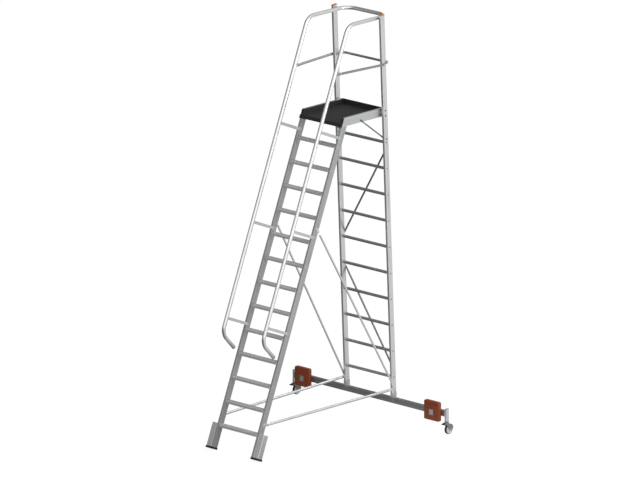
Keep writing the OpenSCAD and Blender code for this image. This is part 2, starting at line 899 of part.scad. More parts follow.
module handrail_right() {
    pts = concat(hand_points(hand_x), [[hand_x, splice_y, guard_z]]);
    color(bright) in_row() {
        tube_path(pts, bend_r, handrail_od, tube_wall);
        lug(hand_x);
        hand_end(hand_x);
    }
}

module guardrail_splice() {
    color(steel) in_row() difference() {
        translate([hand_x, 0, guard_z])
            rod_y(splice_y - 42, splice_y + 42, handrail_od / 2 - tube_wall - 0.1);
        translate([hand_x, 0, guard_z])
            rod_y(splice_y - 43, splice_y + 43, handrail_od / 2 - tube_wall - 3);
        translate([0, guard_bolt[0], guard_bolt[1]]) rod_x(hand_x - 40, hand_x + 40, bolt_hole_r);
    }
}

module bracket_at(i) {
    k = search(i, bracket_steps)[0];
    in_ladder() translate([0, 0, step_z(i) / cos(tilt) + bracket_offsets[k]]) children();
}

module bracket() {
    reach = handrail_stand - handrail_od / 2;
    w = bracket_w;
    h = bracket_h;
    wall = bracket_wall;
    cheek = bracket_cheek;
    block = bracket_block;
    difference() {
        union() {
            // tube from the stile to the handrail
            translate([stile_x - w / 2, -reach - 8, -h / 2]) cube([w, reach + 8, h]);
            // fork around the stile
            translate([inner_x - cheek, -block, -h / 2]) cube([stile_w + 2 * cheek, block, h]);
            for (x = [inner_x - cheek, outer_x]) {
                translate([x, -block, -h / 2]) cube([cheek, block + bracket_bolt_d, h]);
                translate([0, bracket_bolt_d, 0]) rod_x(x, x + cheek, h / 2);
            }
        }
        translate([stile_x - w / 2 + wall, -reach - 20, -h / 2 + wall])
            cube([w - 2 * wall, reach - 8, h - 2 * wall]);
        translate([stile_x, -handrail_stand, -100]) cylinder(h = 200, r = handrail_od / 2 + seat);
        translate([0, bracket_bolt_d, 0]) rod_x(inner_x - 10, outer_x + 10, bolt_hole_r);
    }
}

module handrail_brackets() {
    color(pale_grey) in_row() both_sides() {
        for (i = bracket_steps) {
            bracket_at(i) bracket();
        }
    }
}

module bracket_bolts() {
    color(steel) in_row() both_sides() {
        for (i = bracket_steps) {
            bracket_at(i) translate([outer_x + bracket_cheek, bracket_bolt_d, 0])
                bolt_x(bolt_r, stile_w + 2 * bracket_cheek);
        }
    }
}

module knee_rail(s) {
    p = [hand_x + flat_t + seat, lug_y, knee_z];
    q = [rear_out_x + flat_t / 2 + seat, knee_bolt[0], knee_z];
    color(bright) in_row() side(s) {
        flat_tube(p, q, knee_od, 20, 44);
        // eye behind the stile
        difference() {
            translate(q) rotate([35, 0, 0]) union() {
                translate([-flat_t / 2, 8, -11]) cube([flat_t, 38, 22]);
                translate([0, 46, 0]) rod_x(-flat_t / 2, flat_t / 2, 11);
            }
            translate(q) rotate([35, 0, 0]) translate([0, 46, 0]) rod_x(-5, 5, bolt_hole_r);
            translate([0, knee_bolt[0], knee_z]) rod_x(q[0] - 5, q[0] + 5, bolt_hole_r);
        }
    }
}

module knee_rail_back() {
    x = rear_in_x - flat_t / 2 - seat;
    start_y = knee_back_y - knee_bend_r;
    flat_len = start_y - knee_bolt[0] - knee_od * 0.9;
    color(bright) in_row() {
        both_sides() {
            flat_end([x, knee_bolt[0], knee_z], 0, flat_len, knee_od, bolt_hole_r);
            bend([x, knee_back_y, knee_z], [0, 1, 0], [-1, 0, 0], knee_bend_r) circle(d = knee_od);
        }
        translate([0, knee_back_y, knee_z]) rod_x(-x + knee_bend_r, x - knee_bend_r, knee_od / 2);
    }
}

module knee_rail_bolts() {
    color(steel) in_row() both_sides() {
        translate([hand_x + 1.5 * flat_t + 2 * seat, lug_y, knee_z])
            bolt_x(bolt_r, 2 * flat_t + 2 * seat);
        translate([rear_out_x + flat_t + 2 * seat, knee_bolt[0], knee_z])
            bolt_x(bolt_r, stile_w + 2 * flat_t + 4 * seat);
        translate([rear_out_x, guard_bolt[0], guard_bolt[1]])
            bolt_x(bolt_r, rear_out_x - hand_x + handrail_od / 2);
    }
}

// ---------- base ----------

module traverse() {
    z = traverse_z + traverse_h / 2;
    color(rear_grey) in_row() difference() {
        translate([0, traverse_y, traverse_z]) extrude_x(-traverse_len / 2, traverse_len / 2)
            box_section(traverse_d, traverse_h, traverse_wall);
        for (x = [-ballast_x, ballast_x]) {
            translate([x, 0, z]) rod_y(traverse_y - 5, traverse_y + traverse_d + 5, ballast_hole_r);
        }
    }
}

module traverse_saddle(s) {
    y0 = traverse_y - 8;
    w = traverse_d + 16;
    top = traverse_z + traverse_h;
    color(steel) in_row() side(s) difference() {
        union() {
            for (x = [rear_in_x - saddle_t, rear_out_x + seat]) {
                extrude_x(x, x + saddle_t - seat) polygon([[y0, traverse_z + 5], [y0 + w, traverse_z + 5],
                    [y0 + w, saddle_top_z - 14], [y0 + w - 14, saddle_top_z],
                    [y0 + 14, saddle_top_z], [y0, saddle_top_z - 14]]);
            }
            translate([rear_in_x - saddle_t, y0, top]) cube([stile_w + 2 * saddle_t, w, 6]);
        }
        translate([rear_in_x - 20, traverse_y - 0.1, 0]) cube([stile_w + 40, traverse_d + 0.2, top]);
        for (p = saddle_bolt_points) {
            translate([0, p[0], p[1]]) rod_x(rear_in_x - 10, rear_out_x + 10, bolt_hole_r);
        }
    }
}

module saddle_bolts() {
    color(steel) in_row() both_sides() {
        for (p = saddle_bolt_points) {
            translate([rear_out_x + saddle_t, p[0], p[1]])
                bolt_x(bolt_r, stile_w + 2 * saddle_t);
        }
    }
}

module ballast(s) {
    z = traverse_z + traverse_h / 2;
    front = traverse_y - ballast_t;
    color(orange) in_row() side(s) difference() {
        translate([ballast_x - ballast_w / 2, traverse_y, ballast_z - ballast_w / 2])
            rotate([90, 0, 0]) linear_extrude(height = ballast_t)
            rounded_rect(ballast_w, ballast_w, ballast_r);
        translate([ballast_x - plate_w / 2 - 1, front - 1, z - plate_h / 2 - 1])
            cube([plate_w + 2, plate_t - plate_out + 1, plate_h + 2]);
        translate([ballast_x, 0, z]) rod_y(front - 1, traverse_y + 1, ballast_hole_r);
    }
}

module ballast_plates() {
    z = traverse_z + traverse_h / 2;
    front = traverse_y - ballast_t - plate_out;
    color(steel) in_row() both_sides() difference() {
        translate([ballast_x - plate_w / 2, front + plate_t, z - plate_h / 2])
            rotate([90, 0, 0]) linear_extrude(height = plate_t) rounded_rect(plate_w, plate_h, 4);
        translate([ballast_x, 0, z]) rod_y(front - 1, front + plate_t + 1, ballast_hole_r);
    }
}

module ballast_bolts() {
    z = traverse_z + traverse_h / 2;
    front = traverse_y - ballast_t - plate_out;
    back = traverse_y + traverse_d;
    color(steel) in_row() both_sides() translate([ballast_x, 0, z]) {
        translate([0, front, 0]) rotate([90, 0, 0]) cylinder(h = 6, r = 9, $fn = 6);
        rod_y(front, back, ballast_bolt_r);
        translate([0, back + 8, 0]) rotate([90, 0, 0]) cylinder(h = 8, r = 9, $fn = 6);
    }
}

module castor_post(s) {
    wall = post_wall;
    color(rear_grey) in_row() side(s) difference() {
        translate([post_x - post_w / 2, castor_y - traverse_d / 2, post_bottom_z])
            linear_extrude(height = post_top_z - post_bottom_z) rounded_rect(post_w, traverse_d, 3);
        translate([post_x - post_w / 2 + wall, castor_y - traverse_d / 2 + wall, post_bottom_z - 1])
            cube([post_w - 2 * wall, traverse_d - 2 * wall, post_top_z - post_bottom_z + 1 - wall]);
    }
}

// ---------- castors ----------

module at_castor(s) {
    in_row() side(s) translate([post_x, castor_y, 0]) children();
}

module castor_stem(s) {
    color(steel) at_castor(s) {
        translate([-post_w / 2 + post_wall + fit, -traverse_d / 2 + post_wall + fit, head_top_z + 2])
            cube([post_w - 2 * post_wall - 2 * fit, traverse_d - 2 * post_wall - 2 * fit, 46]);
        translate([0, 0, head_top_z + fit]) cylinder(h = post_bottom_z - head_top_z - fit, r = 20);
        translate([0, 0, crown_z - 1.4]) cylinder(h = head_top_z - crown_z + 3, r = pin_r);
        translate([0, 0, crown_z - 4.6]) cylinder(h = 4.2, r = 11);
    }
}

module castor_fork(s) {
    color(dark_grey) at_castor(s) difference() {
        union() {
            // swivel head
            translate([0, 0, crown_z]) cylinder(h = head_top_z - crown_z, r = head_r);
            translate([-fork_in_x - fork_leg_t, -21, crown_z])
                cube([2 * (fork_in_x + fork_leg_t), 50, crown_t]);
            for (x = [-fork_in_x - fork_leg_t, fork_in_x]) {
                extrude_x(x, x + fork_leg_t) polygon(fork_leg_points);
            }
            // pedal ears
            for (x = [-16, 12]) {
                translate([x, pedal_y, crown_z]) cube([4, 18, 8]);
                translate([x, pedal_y - 7, pedal_z - 7]) cube([4, 16, 14]);
                translate([x, pedal_y - 7, crown_z]) cube([4, 16, 10]);
            }
        }
        translate([0, 0, crown_z - 5]) cylinder(h = 50, r = pin_r + run_clear);
        translate([0, trail, wheel_r]) rod_x(-40, 40, axle_r + 0.1);
        translate([0, pedal_y, pedal_z]) rod_x(-20, 20, pedal_pin_r + run_clear);
        // wheel clearance
        translate([0, trail, wheel_r]) rod_x(-fork_in_x, fork_in_x, wheel_r + 2.5);
    }
}

module castor_axle(s) {
    out = fork_in_x + fork_leg_t;
    color(steel) at_castor(s) translate([0, trail, wheel_r]) {
        rod_x(-out, out, axle_r);
        for (x = [-out - 3.5, out]) {
            translate([x, 0, 0]) rotate([0, 90, 0]) cylinder(h = 3.5, r = 10, $fn = 6);
        }
    }
}

module wheel_hub(s) {
    color(pale_grey) at_castor(s) translate([0, trail, wheel_r]) rotate([0, 90, 0]) rotate_extrude()
        polygon([[axle_r + run_clear, -16.8], [14, -16.8], [16, -11], [34, -9], [37, -14],
            [hub_rim_r, -14.5], [hub_rim_r, 14.5], [37, 14], [34, 9], [16, 11], [14, 16.8],
            [axle_r + run_clear, 16.8]]);
}

module tyre(s) {
    w = wheel_w / 2;
    color(black) at_castor(s) translate([0, trail, wheel_r]) rotate([0, 90, 0]) rotate_extrude()
        polygon([[hub_rim_r, -w + 1], [hub_rim_r + 3, -w], [wheel_r - 2.5, -w + 1], [wheel_r - 0.7, -w + 4],
            [wheel_r, -w + 9], [wheel_r, w - 9], [wheel_r - 0.7, w - 4], [wheel_r - 2.5, w - 1],
            [hub_rim_r + 3, w], [hub_rim_r, w - 1]]);
}

module brake_pedal(s) {
    color(dark_grey) at_castor(s) translate([0, pedal_y, pedal_z]) {
        rod_x(-11.6, 11.6, 6);
        rod_x(-17, 17, pedal_pin_r);
        extrude_x(-11.4, 11.4) polygon([[-14, -4], [0, -5], [0, 5], [-14, 4]]);
        extrude_x(-16, 16) polygon([[-34, -6], [-30, -8], [-12, -4], [-12, 4], [-30, 3], [-34, 0]]);
    }
}

front_stile(-1);  // front_stile_left
front_stile(1);  // front_stile_right
front_steps();
step_rivets();
foot_profile(-1);  // foot_profile_left
foot_profile(1);  // foot_profile_right
foot_cap(-1);  // foot_cap_left
foot_cap(1);  // foot_cap_right
rear_stile(-1);  // rear_stile_left
rear_stile(1);  // rear_stile_right
rear_rungs();
rung_rivets();
stile_cap(-1);  // stile_cap_left
stile_cap(1);  // stile_cap_right
rear_brace(diag_upper);  // rear_brace_upper
rear_brace(diag_lower);  // rear_brace_lower
side_brace(-1);  // side_brace_left
side_brace(1);  // side_brace_right
base_bar(-1);  // base_bar_left
base_bar(1);  // base_bar_right
brace_bolts();
platform_rail(-1);  // platform_rail_left
platform_rail(1);  // platform_rail_right
platform_deck();
platform_bolts();
platform_spacers();
platform_strut(-1);  // platform_strut_left
platform_strut(1);  // platform_strut_right
guardrail_left();
handrail_right();
guardrail_splice();
handrail_brackets();
bracket_bolts();
knee_rail(-1);  // knee_rail_left
knee_rail(1);  // knee_rail_right
knee_rail_back();
knee_rail_bolts();
traverse();
traverse_saddle(-1);  // traverse_saddle_left
traverse_saddle(1);  // traverse_saddle_right
saddle_bolts();
ballast(-1);  // ballast_left
ballast(1);  // ballast_right
ballast_plates();
ballast_bolts();
castor_post(-1);  // castor_post_left
castor_post(1);  // castor_post_right
castor_stem(-1);  // castor_stem_left
castor_stem(1);  // castor_stem_right
castor_fork(-1);  // castor_fork_left
castor_fork(1);  // castor_fork_right
castor_axle(-1);  // castor_axle_left
castor_axle(1);  // castor_axle_right
wheel_hub(-1);  // wheel_hub_left
wheel_hub(1);  // wheel_hub_right
tyre(-1);  // tyre_left
tyre(1);  // tyre_right
brake_pedal(-1);  // brake_pedal_left
brake_pedal(1);  // brake_pedal_right
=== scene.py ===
import json
import math

import bmesh
import bpy
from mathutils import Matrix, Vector


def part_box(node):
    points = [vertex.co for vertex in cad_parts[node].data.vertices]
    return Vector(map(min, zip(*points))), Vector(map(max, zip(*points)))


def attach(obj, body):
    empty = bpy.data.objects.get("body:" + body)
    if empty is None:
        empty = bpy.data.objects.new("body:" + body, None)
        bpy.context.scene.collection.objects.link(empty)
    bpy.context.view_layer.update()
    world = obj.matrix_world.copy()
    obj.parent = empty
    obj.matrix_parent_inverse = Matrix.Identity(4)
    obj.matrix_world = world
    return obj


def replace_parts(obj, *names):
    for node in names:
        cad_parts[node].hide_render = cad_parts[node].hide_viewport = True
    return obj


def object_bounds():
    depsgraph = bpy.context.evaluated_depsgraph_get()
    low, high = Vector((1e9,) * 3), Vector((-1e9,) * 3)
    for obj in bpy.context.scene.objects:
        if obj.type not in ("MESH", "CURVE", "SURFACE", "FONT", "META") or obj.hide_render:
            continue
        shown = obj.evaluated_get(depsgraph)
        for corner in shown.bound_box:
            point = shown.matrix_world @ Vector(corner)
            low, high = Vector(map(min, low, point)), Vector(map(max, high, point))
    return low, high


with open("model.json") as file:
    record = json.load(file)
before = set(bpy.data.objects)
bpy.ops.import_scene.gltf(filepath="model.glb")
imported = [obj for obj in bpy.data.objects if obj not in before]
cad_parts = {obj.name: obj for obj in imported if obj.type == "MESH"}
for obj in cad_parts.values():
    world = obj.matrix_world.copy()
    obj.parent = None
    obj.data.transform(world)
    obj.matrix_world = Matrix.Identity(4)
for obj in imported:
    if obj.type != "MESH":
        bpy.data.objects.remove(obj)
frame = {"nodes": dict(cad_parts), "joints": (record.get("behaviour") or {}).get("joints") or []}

# Rolling warehouse platform ladder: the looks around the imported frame.
# Metres. +Z up, +Y from the climbing side to the rear frame, +X the climber's right.

cad_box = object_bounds()
nodes = frame["nodes"]

# ---------- dimensions read from the frame ----------

TILT = math.radians(22.4)
REAR_LEAN = math.radians(2.72)
FLAT_T = 0.004
SEAT = 0.0001
STILE_D = 0.07
REAR_D = 0.062
MM = 0.001

UP_LADDER = Vector((0, math.sin(TILT), math.cos(TILT)))
INTO_LADDER = Vector((0, math.cos(TILT), -math.sin(TILT)))


def size(node):
    low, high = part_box(node)
    return high - low


def middle(node):
    low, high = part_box(node)
    return (low + high) / 2


def joint_place(name):
    for joint in frame["joints"]:
        if joint["name"] == name:
            return Vector(joint["pos_m"])
    raise ValueError(name)


stile_low, stile_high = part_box("front_stile_right")
rear_low, rear_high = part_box("rear_stile_right")
OUTER_X = stile_high.x
REAR_IN_X = rear_low.x
REAR_OUT_X = rear_high.x
FOOT_Y = stile_low.y - (stile_low.z + STILE_D * math.sin(TILT)) * math.tan(TILT)

# ---------- node materials ----------


class Shader:
    """A Principled material with short calls for the nodes that the finishes share."""

    def __init__(self, name):
        self.material = bpy.data.materials.new(name)
        self.material.use_nodes = True
        self.tree = self.material.node_tree
        self.tree.nodes.clear()
        self.out = self.add("ShaderNodeOutputMaterial")
        self.bsdf = self.add("ShaderNodeBsdfPrincipled")
        self.link(self.bsdf.outputs[0], self.out.inputs["Surface"])
        self.place = self.add("ShaderNodeTexCoord").outputs["Object"]

    def add(self, kind, **settings):
        node = self.tree.nodes.new(kind)
        for key, value in settings.items():
            setattr(node, key, value)
        return node

    def link(self, source, target):
        self.tree.links.new(source, target)

    def set(self, **values):
        for key, value in values.items():
            self.bsdf.inputs[key.replace("_", " ")].default_value = value

    def turned(self, rotation, scale):
        node = self.add("ShaderNodeMapping", vector_type="TEXTURE")
        node.inputs["Rotation"].default_value = rotation
        node.inputs["Scale"].default_value = [1 / s for s in scale]
        self.link(self.place, node.inputs["Vector"])
        return node.outputs[0]

    def noise(self, scale, detail=3.0, vector=None, rough=0.55):
        node = self.add("ShaderNodeTexNoise")
        node.inputs["Scale"].default_value = scale
        node.inputs["Detail"].default_value = detail
        node.inputs["Roughness"].default_value = rough
        self.link(vector if vector is not None else self.place, node.inputs["Vector"])
        return node.outputs["Fac"]

    def remap(self, value, low, high, new_low, new_high):
        node = self.add("ShaderNodeMapRange")
        node.inputs["From Min"].default_value = low
        node.inputs["From Max"].default_value = high
        node.inputs["To Min"].default_value = new_low
        node.inputs["To Max"].default_value = new_high
        self.link(value, node.inputs["Value"])
        return node.outputs[0]

    def math(self, operation, a, b):
        node = self.add("ShaderNodeMath", operation=operation)
        for slot, value in enumerate((a, b)):
            if isinstance(value, (int, float)):
                node.inputs[slot].default_value = value
            else:
                self.link(value, node.inputs[slot])
        return node.outputs[0]

    def mix(self, factor, first, second):
        node = self.add("ShaderNodeMix", data_type="RGBA")
        self.link(factor, node.inputs["Factor"])
        for socket, value in ((node.inputs[6], first), (node.inputs[7], second)):
            if isinstance(value, tuple):
                socket.default_value = (*value, 1)
            else:
                self.link(value, socket)
        return node.outputs[2]

    def bump(self, height, distance, strength=1.0, normal=None):
        node = self.add("ShaderNodeBump")
        node.inputs["Distance"].default_value = distance
        node.inputs["Strength"].default_value = strength
        self.link(height, node.inputs["Height"])
        if normal is not None:
            self.link(normal, node.inputs["Normal"])
        return node.outputs[0]

    def edges(self, radius, low=0.02, high=0.25):
        """1 along the outer edges, 0 on flat ground."""
        soft = self.add("ShaderNodeBevel", samples=4)
        soft.inputs["Radius"].default_value = radius
        plain = self.add("ShaderNodeNewGeometry").outputs["Normal"]
        dot = self.add("ShaderNodeVectorMath", operation="DOT_PRODUCT")
        self.link(soft.outputs[0], dot.inputs[0])
        self.link(plain, dot.inputs[1])
        return self.remap(self.math("SUBTRACT", 1.0, dot.outputs["Value"]), low, high, 0, 1)

    def hollows(self, distance):
        """Ambient occlusion mask for painted shade: 1 on open ground, towards 0 down in grooves narrower
        than the distance.
        """
        shade = self.add("ShaderNodeAmbientOcclusion", samples=16, only_local=True)
        shade.inputs["Distance"].default_value = distance
        return self.remap(shade.outputs["AO"], 0.35, 0.8, 0, 1)

    def color(self, source):
        self.link(source, self.bsdf.inputs["Base Color"])

    def rough(self, source):
        self.link(source, self.bsdf.inputs["Roughness"])

    def normal(self, source):
        self.link(source, self.bsdf.inputs["Normal"])


def extruded_aluminium(name, tint, roughness, turn=(0, 0, 0), along=2, metal=0.9, grooves=0.0):
    """Drawn aluminium: fine die lines along the profile, handling marks and a dull oxide film; with grooves
    given, painted shade darkens the grooves by ambient occlusion.
    """
    s = Shader(name)
    s.set(Metallic=metal)
    stretch = [900.0, 900.0, 900.0]
    stretch[along] = 3.0
    lines = s.noise(1.0, 3.0, s.turned(turn, stretch), 0.6)
    broad = [60.0, 60.0, 60.0]
    broad[along] = 1.2
    bands = s.noise(1.0, 2.0, s.turned(turn, broad))
    film = s.noise(2.3, 4.0)
    marks = s.noise(34.0, 5.0, None, 0.6)
    dark = tuple(c * 0.86 for c in tint)
    worn = s.mix(s.remap(film, 0.35, 0.68, 0, 1), dark, tint)
    bright = tuple(min(1, c * 1.06) for c in tint)
    shade = s.mix(s.remap(bands, 0.42, 0.62, 0, 0.8), worn, bright)
    # painted shade: grooves within this reach are darkened towards 0.3 of the tint
    if grooves:
        shade = s.mix(s.hollows(grooves), tuple(c * 0.3 for c in tint), shade)
    s.color(shade)
    level = s.math("ADD", s.remap(marks, 0.3, 0.7, -0.04, 0.04),
                   s.remap(lines, 0.3, 0.7, -0.05, 0.05))
    s.rough(s.math("ADD", level, s.remap(film, 0.3, 0.7, roughness + 0.05, roughness - 0.04)))
    s.normal(s.bump(lines, 0.00012, 0.5, s.bump(marks, 0.0001, 0.3)))
    return s.material


def polished_aluminium(name, tint, roughness):
    """Bright tube: hand polish and small scuffs."""
    s = Shader(name)
    s.set(Metallic=1.0)
    scuffs = s.noise(300.0, 5.0, None, 0.7)
    cloud = s.noise(5.0, 4.0)
    s.color(s.mix(s.remap(cloud, 0.35, 0.7, 0, 1), tuple(c * 0.94 for c in tint), tint))
    s.rough(s.math("ADD", s.remap(scuffs, 0.45, 0.75, 0, 0.1),
                   s.remap(cloud, 0.3, 0.7, roughness - 0.02, roughness + 0.04)))
    s.normal(s.bump(scuffs, 0.00003, 0.3))
    return s.material


def zinc_steel(name, tint, roughness):
    """Zinc-plated steel: spangle, slight yellowing and dull patches."""
    s = Shader(name)
    s.set(Metallic=1.0)
    cells = s.add("ShaderNodeTexVoronoi")
    cells.inputs["Scale"].default_value = 420.0
    s.link(s.place, cells.inputs["Vector"])
    spangle = cells.outputs["Distance"]
    cloud = s.noise(26.0, 4.0)
    warm = (tint[0] * 1.02, tint[1] * 0.97, tint[2] * 0.86)
    s.color(s.mix(s.remap(cloud, 0.4, 0.7, 0, 0.8), tint, warm))
    s.rough(s.math("ADD", s.remap(spangle, 0, 0.8, -0.05, 0.08),
                   s.remap(cloud, 0.3, 0.7, roughness, roughness + 0.1)))
    s.normal(s.bump(spangle, 0.00008, 0.4))
    return s.material


def coated(name, tint, wear, roughness, grain=900.0, wear_amount=0.7, clear=0.0):
    """Powder coat: orange peel, blotchy tone and rubbed edges showing the metal."""
    s = Shader(name)
    s.set(Coat_Weight=clear, Coat_Roughness=0.25)
    peel = s.noise(grain, 2.0)
    cloud = s.noise(9.0, 5.0)
    fray = s.noise(160.0, 5.0, None, 0.7)
    rubbed = s.math("MULTIPLY", s.edges(0.0025), s.remap(fray, 0.45, 0.62, 0, wear_amount))
    shade = s.mix(s.remap(cloud, 0.3, 0.7, 0, 1), tuple(c * 0.82 for c in tint), tint)
    s.color(s.mix(rubbed, shade, wear))
    s.link(s.math("MULTIPLY", rubbed, 0.8), s.bsdf.inputs["Metallic"])
    s.rough(s.remap(cloud, 0.3, 0.7, roughness - 0.06, roughness + 0.08))
    s.normal(s.bump(peel, 0.00025, 0.35))
    return s.material


def moulded(name, tint, roughness, grain=1400.0):
    """Moulded plastic or rubber: fine spark-eroded grain and dust."""
    s = Shader(name)
    fine = s.noise(grain, 3.0)
    cloud = s.noise(14.0, 5.0)
    dust = tuple(min(1, c * 1.1 + 0.03) for c in tint)
    s.color(s.mix(s.remap(cloud, 0.45, 0.75, 0, 0.8), tint, dust))
    s.rough(s.remap(cloud, 0.3, 0.7, roughness - 0.05, roughness + 0.07))
    s.normal(s.bump(fine, 0.0002, 0.5))
    return s.material


def welded(name):
    """Weld metal: bright ripples, a straw heat tint and soot."""
    s = Shader(name)
    s.set(Metallic=1.0)
    ripples = s.noise(600.0, 2.0)
    cloud = s.noise(60.0, 4.0)
    s.color(s.mix(s.remap(cloud, 0.4, 0.65, 0, 1), (0.6, 0.6, 0.61), (0.42, 0.38, 0.31)))
    s.rough(s.remap(ripples, 0.3, 0.7, 0.3, 0.5))
    s.normal(s.bump(ripples, 0.0002, 0.5))
    return s.material


ladder_turn = (-TILT, 0, 0)
rear_turn = (REAR_LEAN, 0, 0)

finish = {
    "stile": extruded_aluminium("stile_aluminium", (0.45, 0.455, 0.46), 0.42, ladder_turn, 2, 0.6),
    "step": extruded_aluminium("step_aluminium", (0.72, 0.725, 0.73), 0.45, (0, 0, 0), 0, 0.4),
    "rear": extruded_aluminium("rear_aluminium", (0.80, 0.81, 0.82), 0.34, rear_turn, 2),
    "rung": extruded_aluminium("rung_aluminium", (0.58, 0.59, 0.60), 0.36, (0, 0, 0), 0),
    "rail": extruded_aluminium("rail_aluminium", (0.68, 0.69, 0.70), 0.36, (0, 0, 0), 1),
    "beam": extruded_aluminium("beam_aluminium", (0.36, 0.365, 0.37), 0.36, (0, 0, 0), 0),
    # foot profile: the last argument paints shade into the grooves of its faces
    "foot": extruded_aluminium("foot_aluminium", (0.93, 0.935, 0.94), 0.3, ladder_turn, 2, 0.8, 0.012),
    "brace": extruded_aluminium("brace_aluminium", (0.26, 0.265, 0.27), 0.38, (0, 0, 0), 2, 0.8),
    "tube": polished_aluminium("tube_aluminium", (0.92, 0.925, 0.93), 0.22),
    "shade_painted_tube": polished_aluminium("shade_painted_tube_aluminium", (0.42, 0.425, 0.43), 0.2),
    # knee rails: the polished tube finish at a much darker tint, painted shade for rails turned away from
    # the key light
    "bracket": polished_aluminium("bracket_aluminium", (0.74, 0.745, 0.75), 0.32),
    "steel": zinc_steel("zinc_steel", (0.62, 0.63, 0.65), 0.32),
    "dark_steel": zinc_steel("dull_zinc_steel", (0.07, 0.072, 0.075), 0.5),
    "deck": coated("deck_black", (0.018, 0.018, 0.02), (0.32, 0.32, 0.33), 0.72, 700.0, 0.5),
    # ballast: tint darkened well below the block's own orange so the whole block carries the shade of its
    # front face: painted shade
    "orange": coated("ballast_orange_shade_darkened", (0.29, 0.050, 0.008), (0.5, 0.45, 0.4), 0.42, 800.0, 0.75, 0.2),
    "fork": coated("fork_grey", (0.20, 0.205, 0.21), (0.5, 0.5, 0.5), 0.4, 900.0, 0.7),
    "black": moulded("black_plastic", (0.02, 0.02, 0.022), 0.5),
    "rubber": moulded("black_rubber", (0.016, 0.016, 0.017), 0.72, 700.0),
    "orange_plastic": moulded("orange_plastic", (0.74, 0.2, 0.03), 0.42),
    "wheel": moulded("wheel_grey", (0.62, 0.62, 0.61), 0.42),
    "weld": welded("weld_metal"),
}

NODE_FINISH = {
    "stile": ["front_stile_left", "front_stile_right"],
    "step": ["front_steps"],
    "foot": ["foot_profile_left", "foot_profile_right"],
    "rear": ["rear_stile_left", "rear_stile_right", "castor_post_left", "castor_post_right"],
    "rung": ["rear_rungs"],
    "rail": ["platform_rail_left", "platform_rail_right"],
    "beam": ["traverse"],
    "tube": ["side_brace_left", "side_brace_right", "base_bar_left", "base_bar_right", "guardrail_left",
             "handrail_right"],
    # knee rails: the darker tube finish is painted shade
    "shade_painted_tube": ["knee_rail_left", "knee_rail_right", "knee_rail_back"],
    "brace": ["rear_brace_upper", "rear_brace_lower", "platform_strut_left", "platform_strut_right"],
    "bracket": ["handrail_brackets"],
    "dark_steel": ["rung_rivets", "platform_bolts"],
    "steel": ["step_rivets", "brace_bolts", "guardrail_splice",
              "bracket_bolts", "knee_rail_bolts", "traverse_saddle_left", "traverse_saddle_right",
              "saddle_bolts", "ballast_plates", "ballast_bolts", "castor_stem_left", "castor_stem_right",
              "castor_axle_left", "castor_axle_right"],
    "deck": ["platform_deck"],
    "orange": ["ballast_left", "ballast_right"],
    "fork": ["castor_fork_left", "castor_fork_right"],
    "black": ["platform_spacers", "brake_pedal_left", "brake_pedal_right"],
    "rubber": ["foot_cap_left", "foot_cap_right", "tyre_left", "tyre_right"],
    "orange_plastic": ["stile_cap_left", "stile_cap_right"],
    "wheel": ["wheel_hub_left", "wheel_hub_right"],
}

for key, names in NODE_FINISH.items():
    for node_name in names:
        mesh = nodes[node_name].data
        mesh.materials.clear()
        mesh.materials.append(finish[key])

# ---------- mesh helpers ----------


def add_piece(name, verts, faces, key, body, crease=35.0):
    """A mesh piece with flat faces meeting at more than the crease angle kept sharp."""
    mesh = bpy.data.meshes.new(name)
    mesh.from_pydata([tuple(v) for v in verts], [], faces)
    work = bmesh.new()
    work.from_mesh(mesh)
    bmesh.ops.remove_doubles(work, verts=work.verts, dist=1e-6)
    bmesh.ops.recalc_face_normals(work, faces=work.faces)
    for face in work.faces:
        face.smooth = True
    for edge in work.edges:
        edge.smooth = edge.calc_face_angle(math.pi) < math.radians(crease)
    work.to_mesh(mesh)
    work.free()
    mesh.materials.append(finish[key])
    piece = bpy.data.objects.new(name, mesh)
    bpy.context.scene.collection.objects.link(piece)
    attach(piece, body)
    return piece


def skin(rings, loop=False):
    """Quads between rings of equal length; the first and last rings are capped unless they loop."""
    count = len(rings[0])
    verts = [p for ring in rings for p in ring]
    faces = []
    for i in range(len(rings) - (0 if loop else 1)):
        low = i * count
        high = ((i + 1) % len(rings)) * count
        for k in range(count):
            n = (k + 1) % count
            faces.append((low + k, low + n, high + n, high + k))
    if not loop:
        faces.append(tuple(reversed(range(count))))
        faces.append(tuple(range(len(verts) - count, len(verts))))
    return verts, faces


def oval(half_thin, half_wide, power, count=32):
    """Superellipse: power 2 is round, more is squarer."""
    points = []
    for k in range(count):
        angle = 2 * math.pi * k / count
        c = math.cos(angle)
        s = math.sin(angle)
        points.append((half_thin * math.copysign(abs(c) ** (2 / power), c),
                       half_wide * math.copysign(abs(s) ** (2 / power), s)))
    return points


def rounded_outline(width, height, radius, corner_steps=6):
    """Rounded rectangle centred on the origin, counter-clockwise."""
    points = []
    for k, (sx, sy) in enumerate(((1, 1), (-1, 1), (-1, -1), (1, -1))):
        cx = sx * (width / 2 - radius)
        cy = sy * (height / 2 - radius)
        for j in range(corner_steps + 1):
            angle = math.pi / 2 * (k + j / corner_steps)
            points.append((cx + radius * math.cos(angle), cy + radius * math.sin(angle)))
    return points


def rounded_path(corners, radius, step=math.radians(5)):
    """Points along a polyline whose inner corners are arcs."""
    path = [corners[0]]
    for before, corner, after in zip(corners, corners[1:], corners[2:]):
        a = (corner - before).normalized()
        b = (after - corner).normalized()
        turn = a.angle(b)
        if turn < 1e-4:
            continue
        start = corner - a * radius * math.tan(turn / 2)
        inward = (b - a * a.dot(b)).normalized()
        middle_point = start + inward * radius
        steps = max(2, round(turn / step))
        for k in range(steps + 1):
            angle = turn * k / steps
            path.append(middle_point + (a * math.sin(angle) - inward * math.cos(angle)) * radius)
    path.append(corners[-1])
    return path


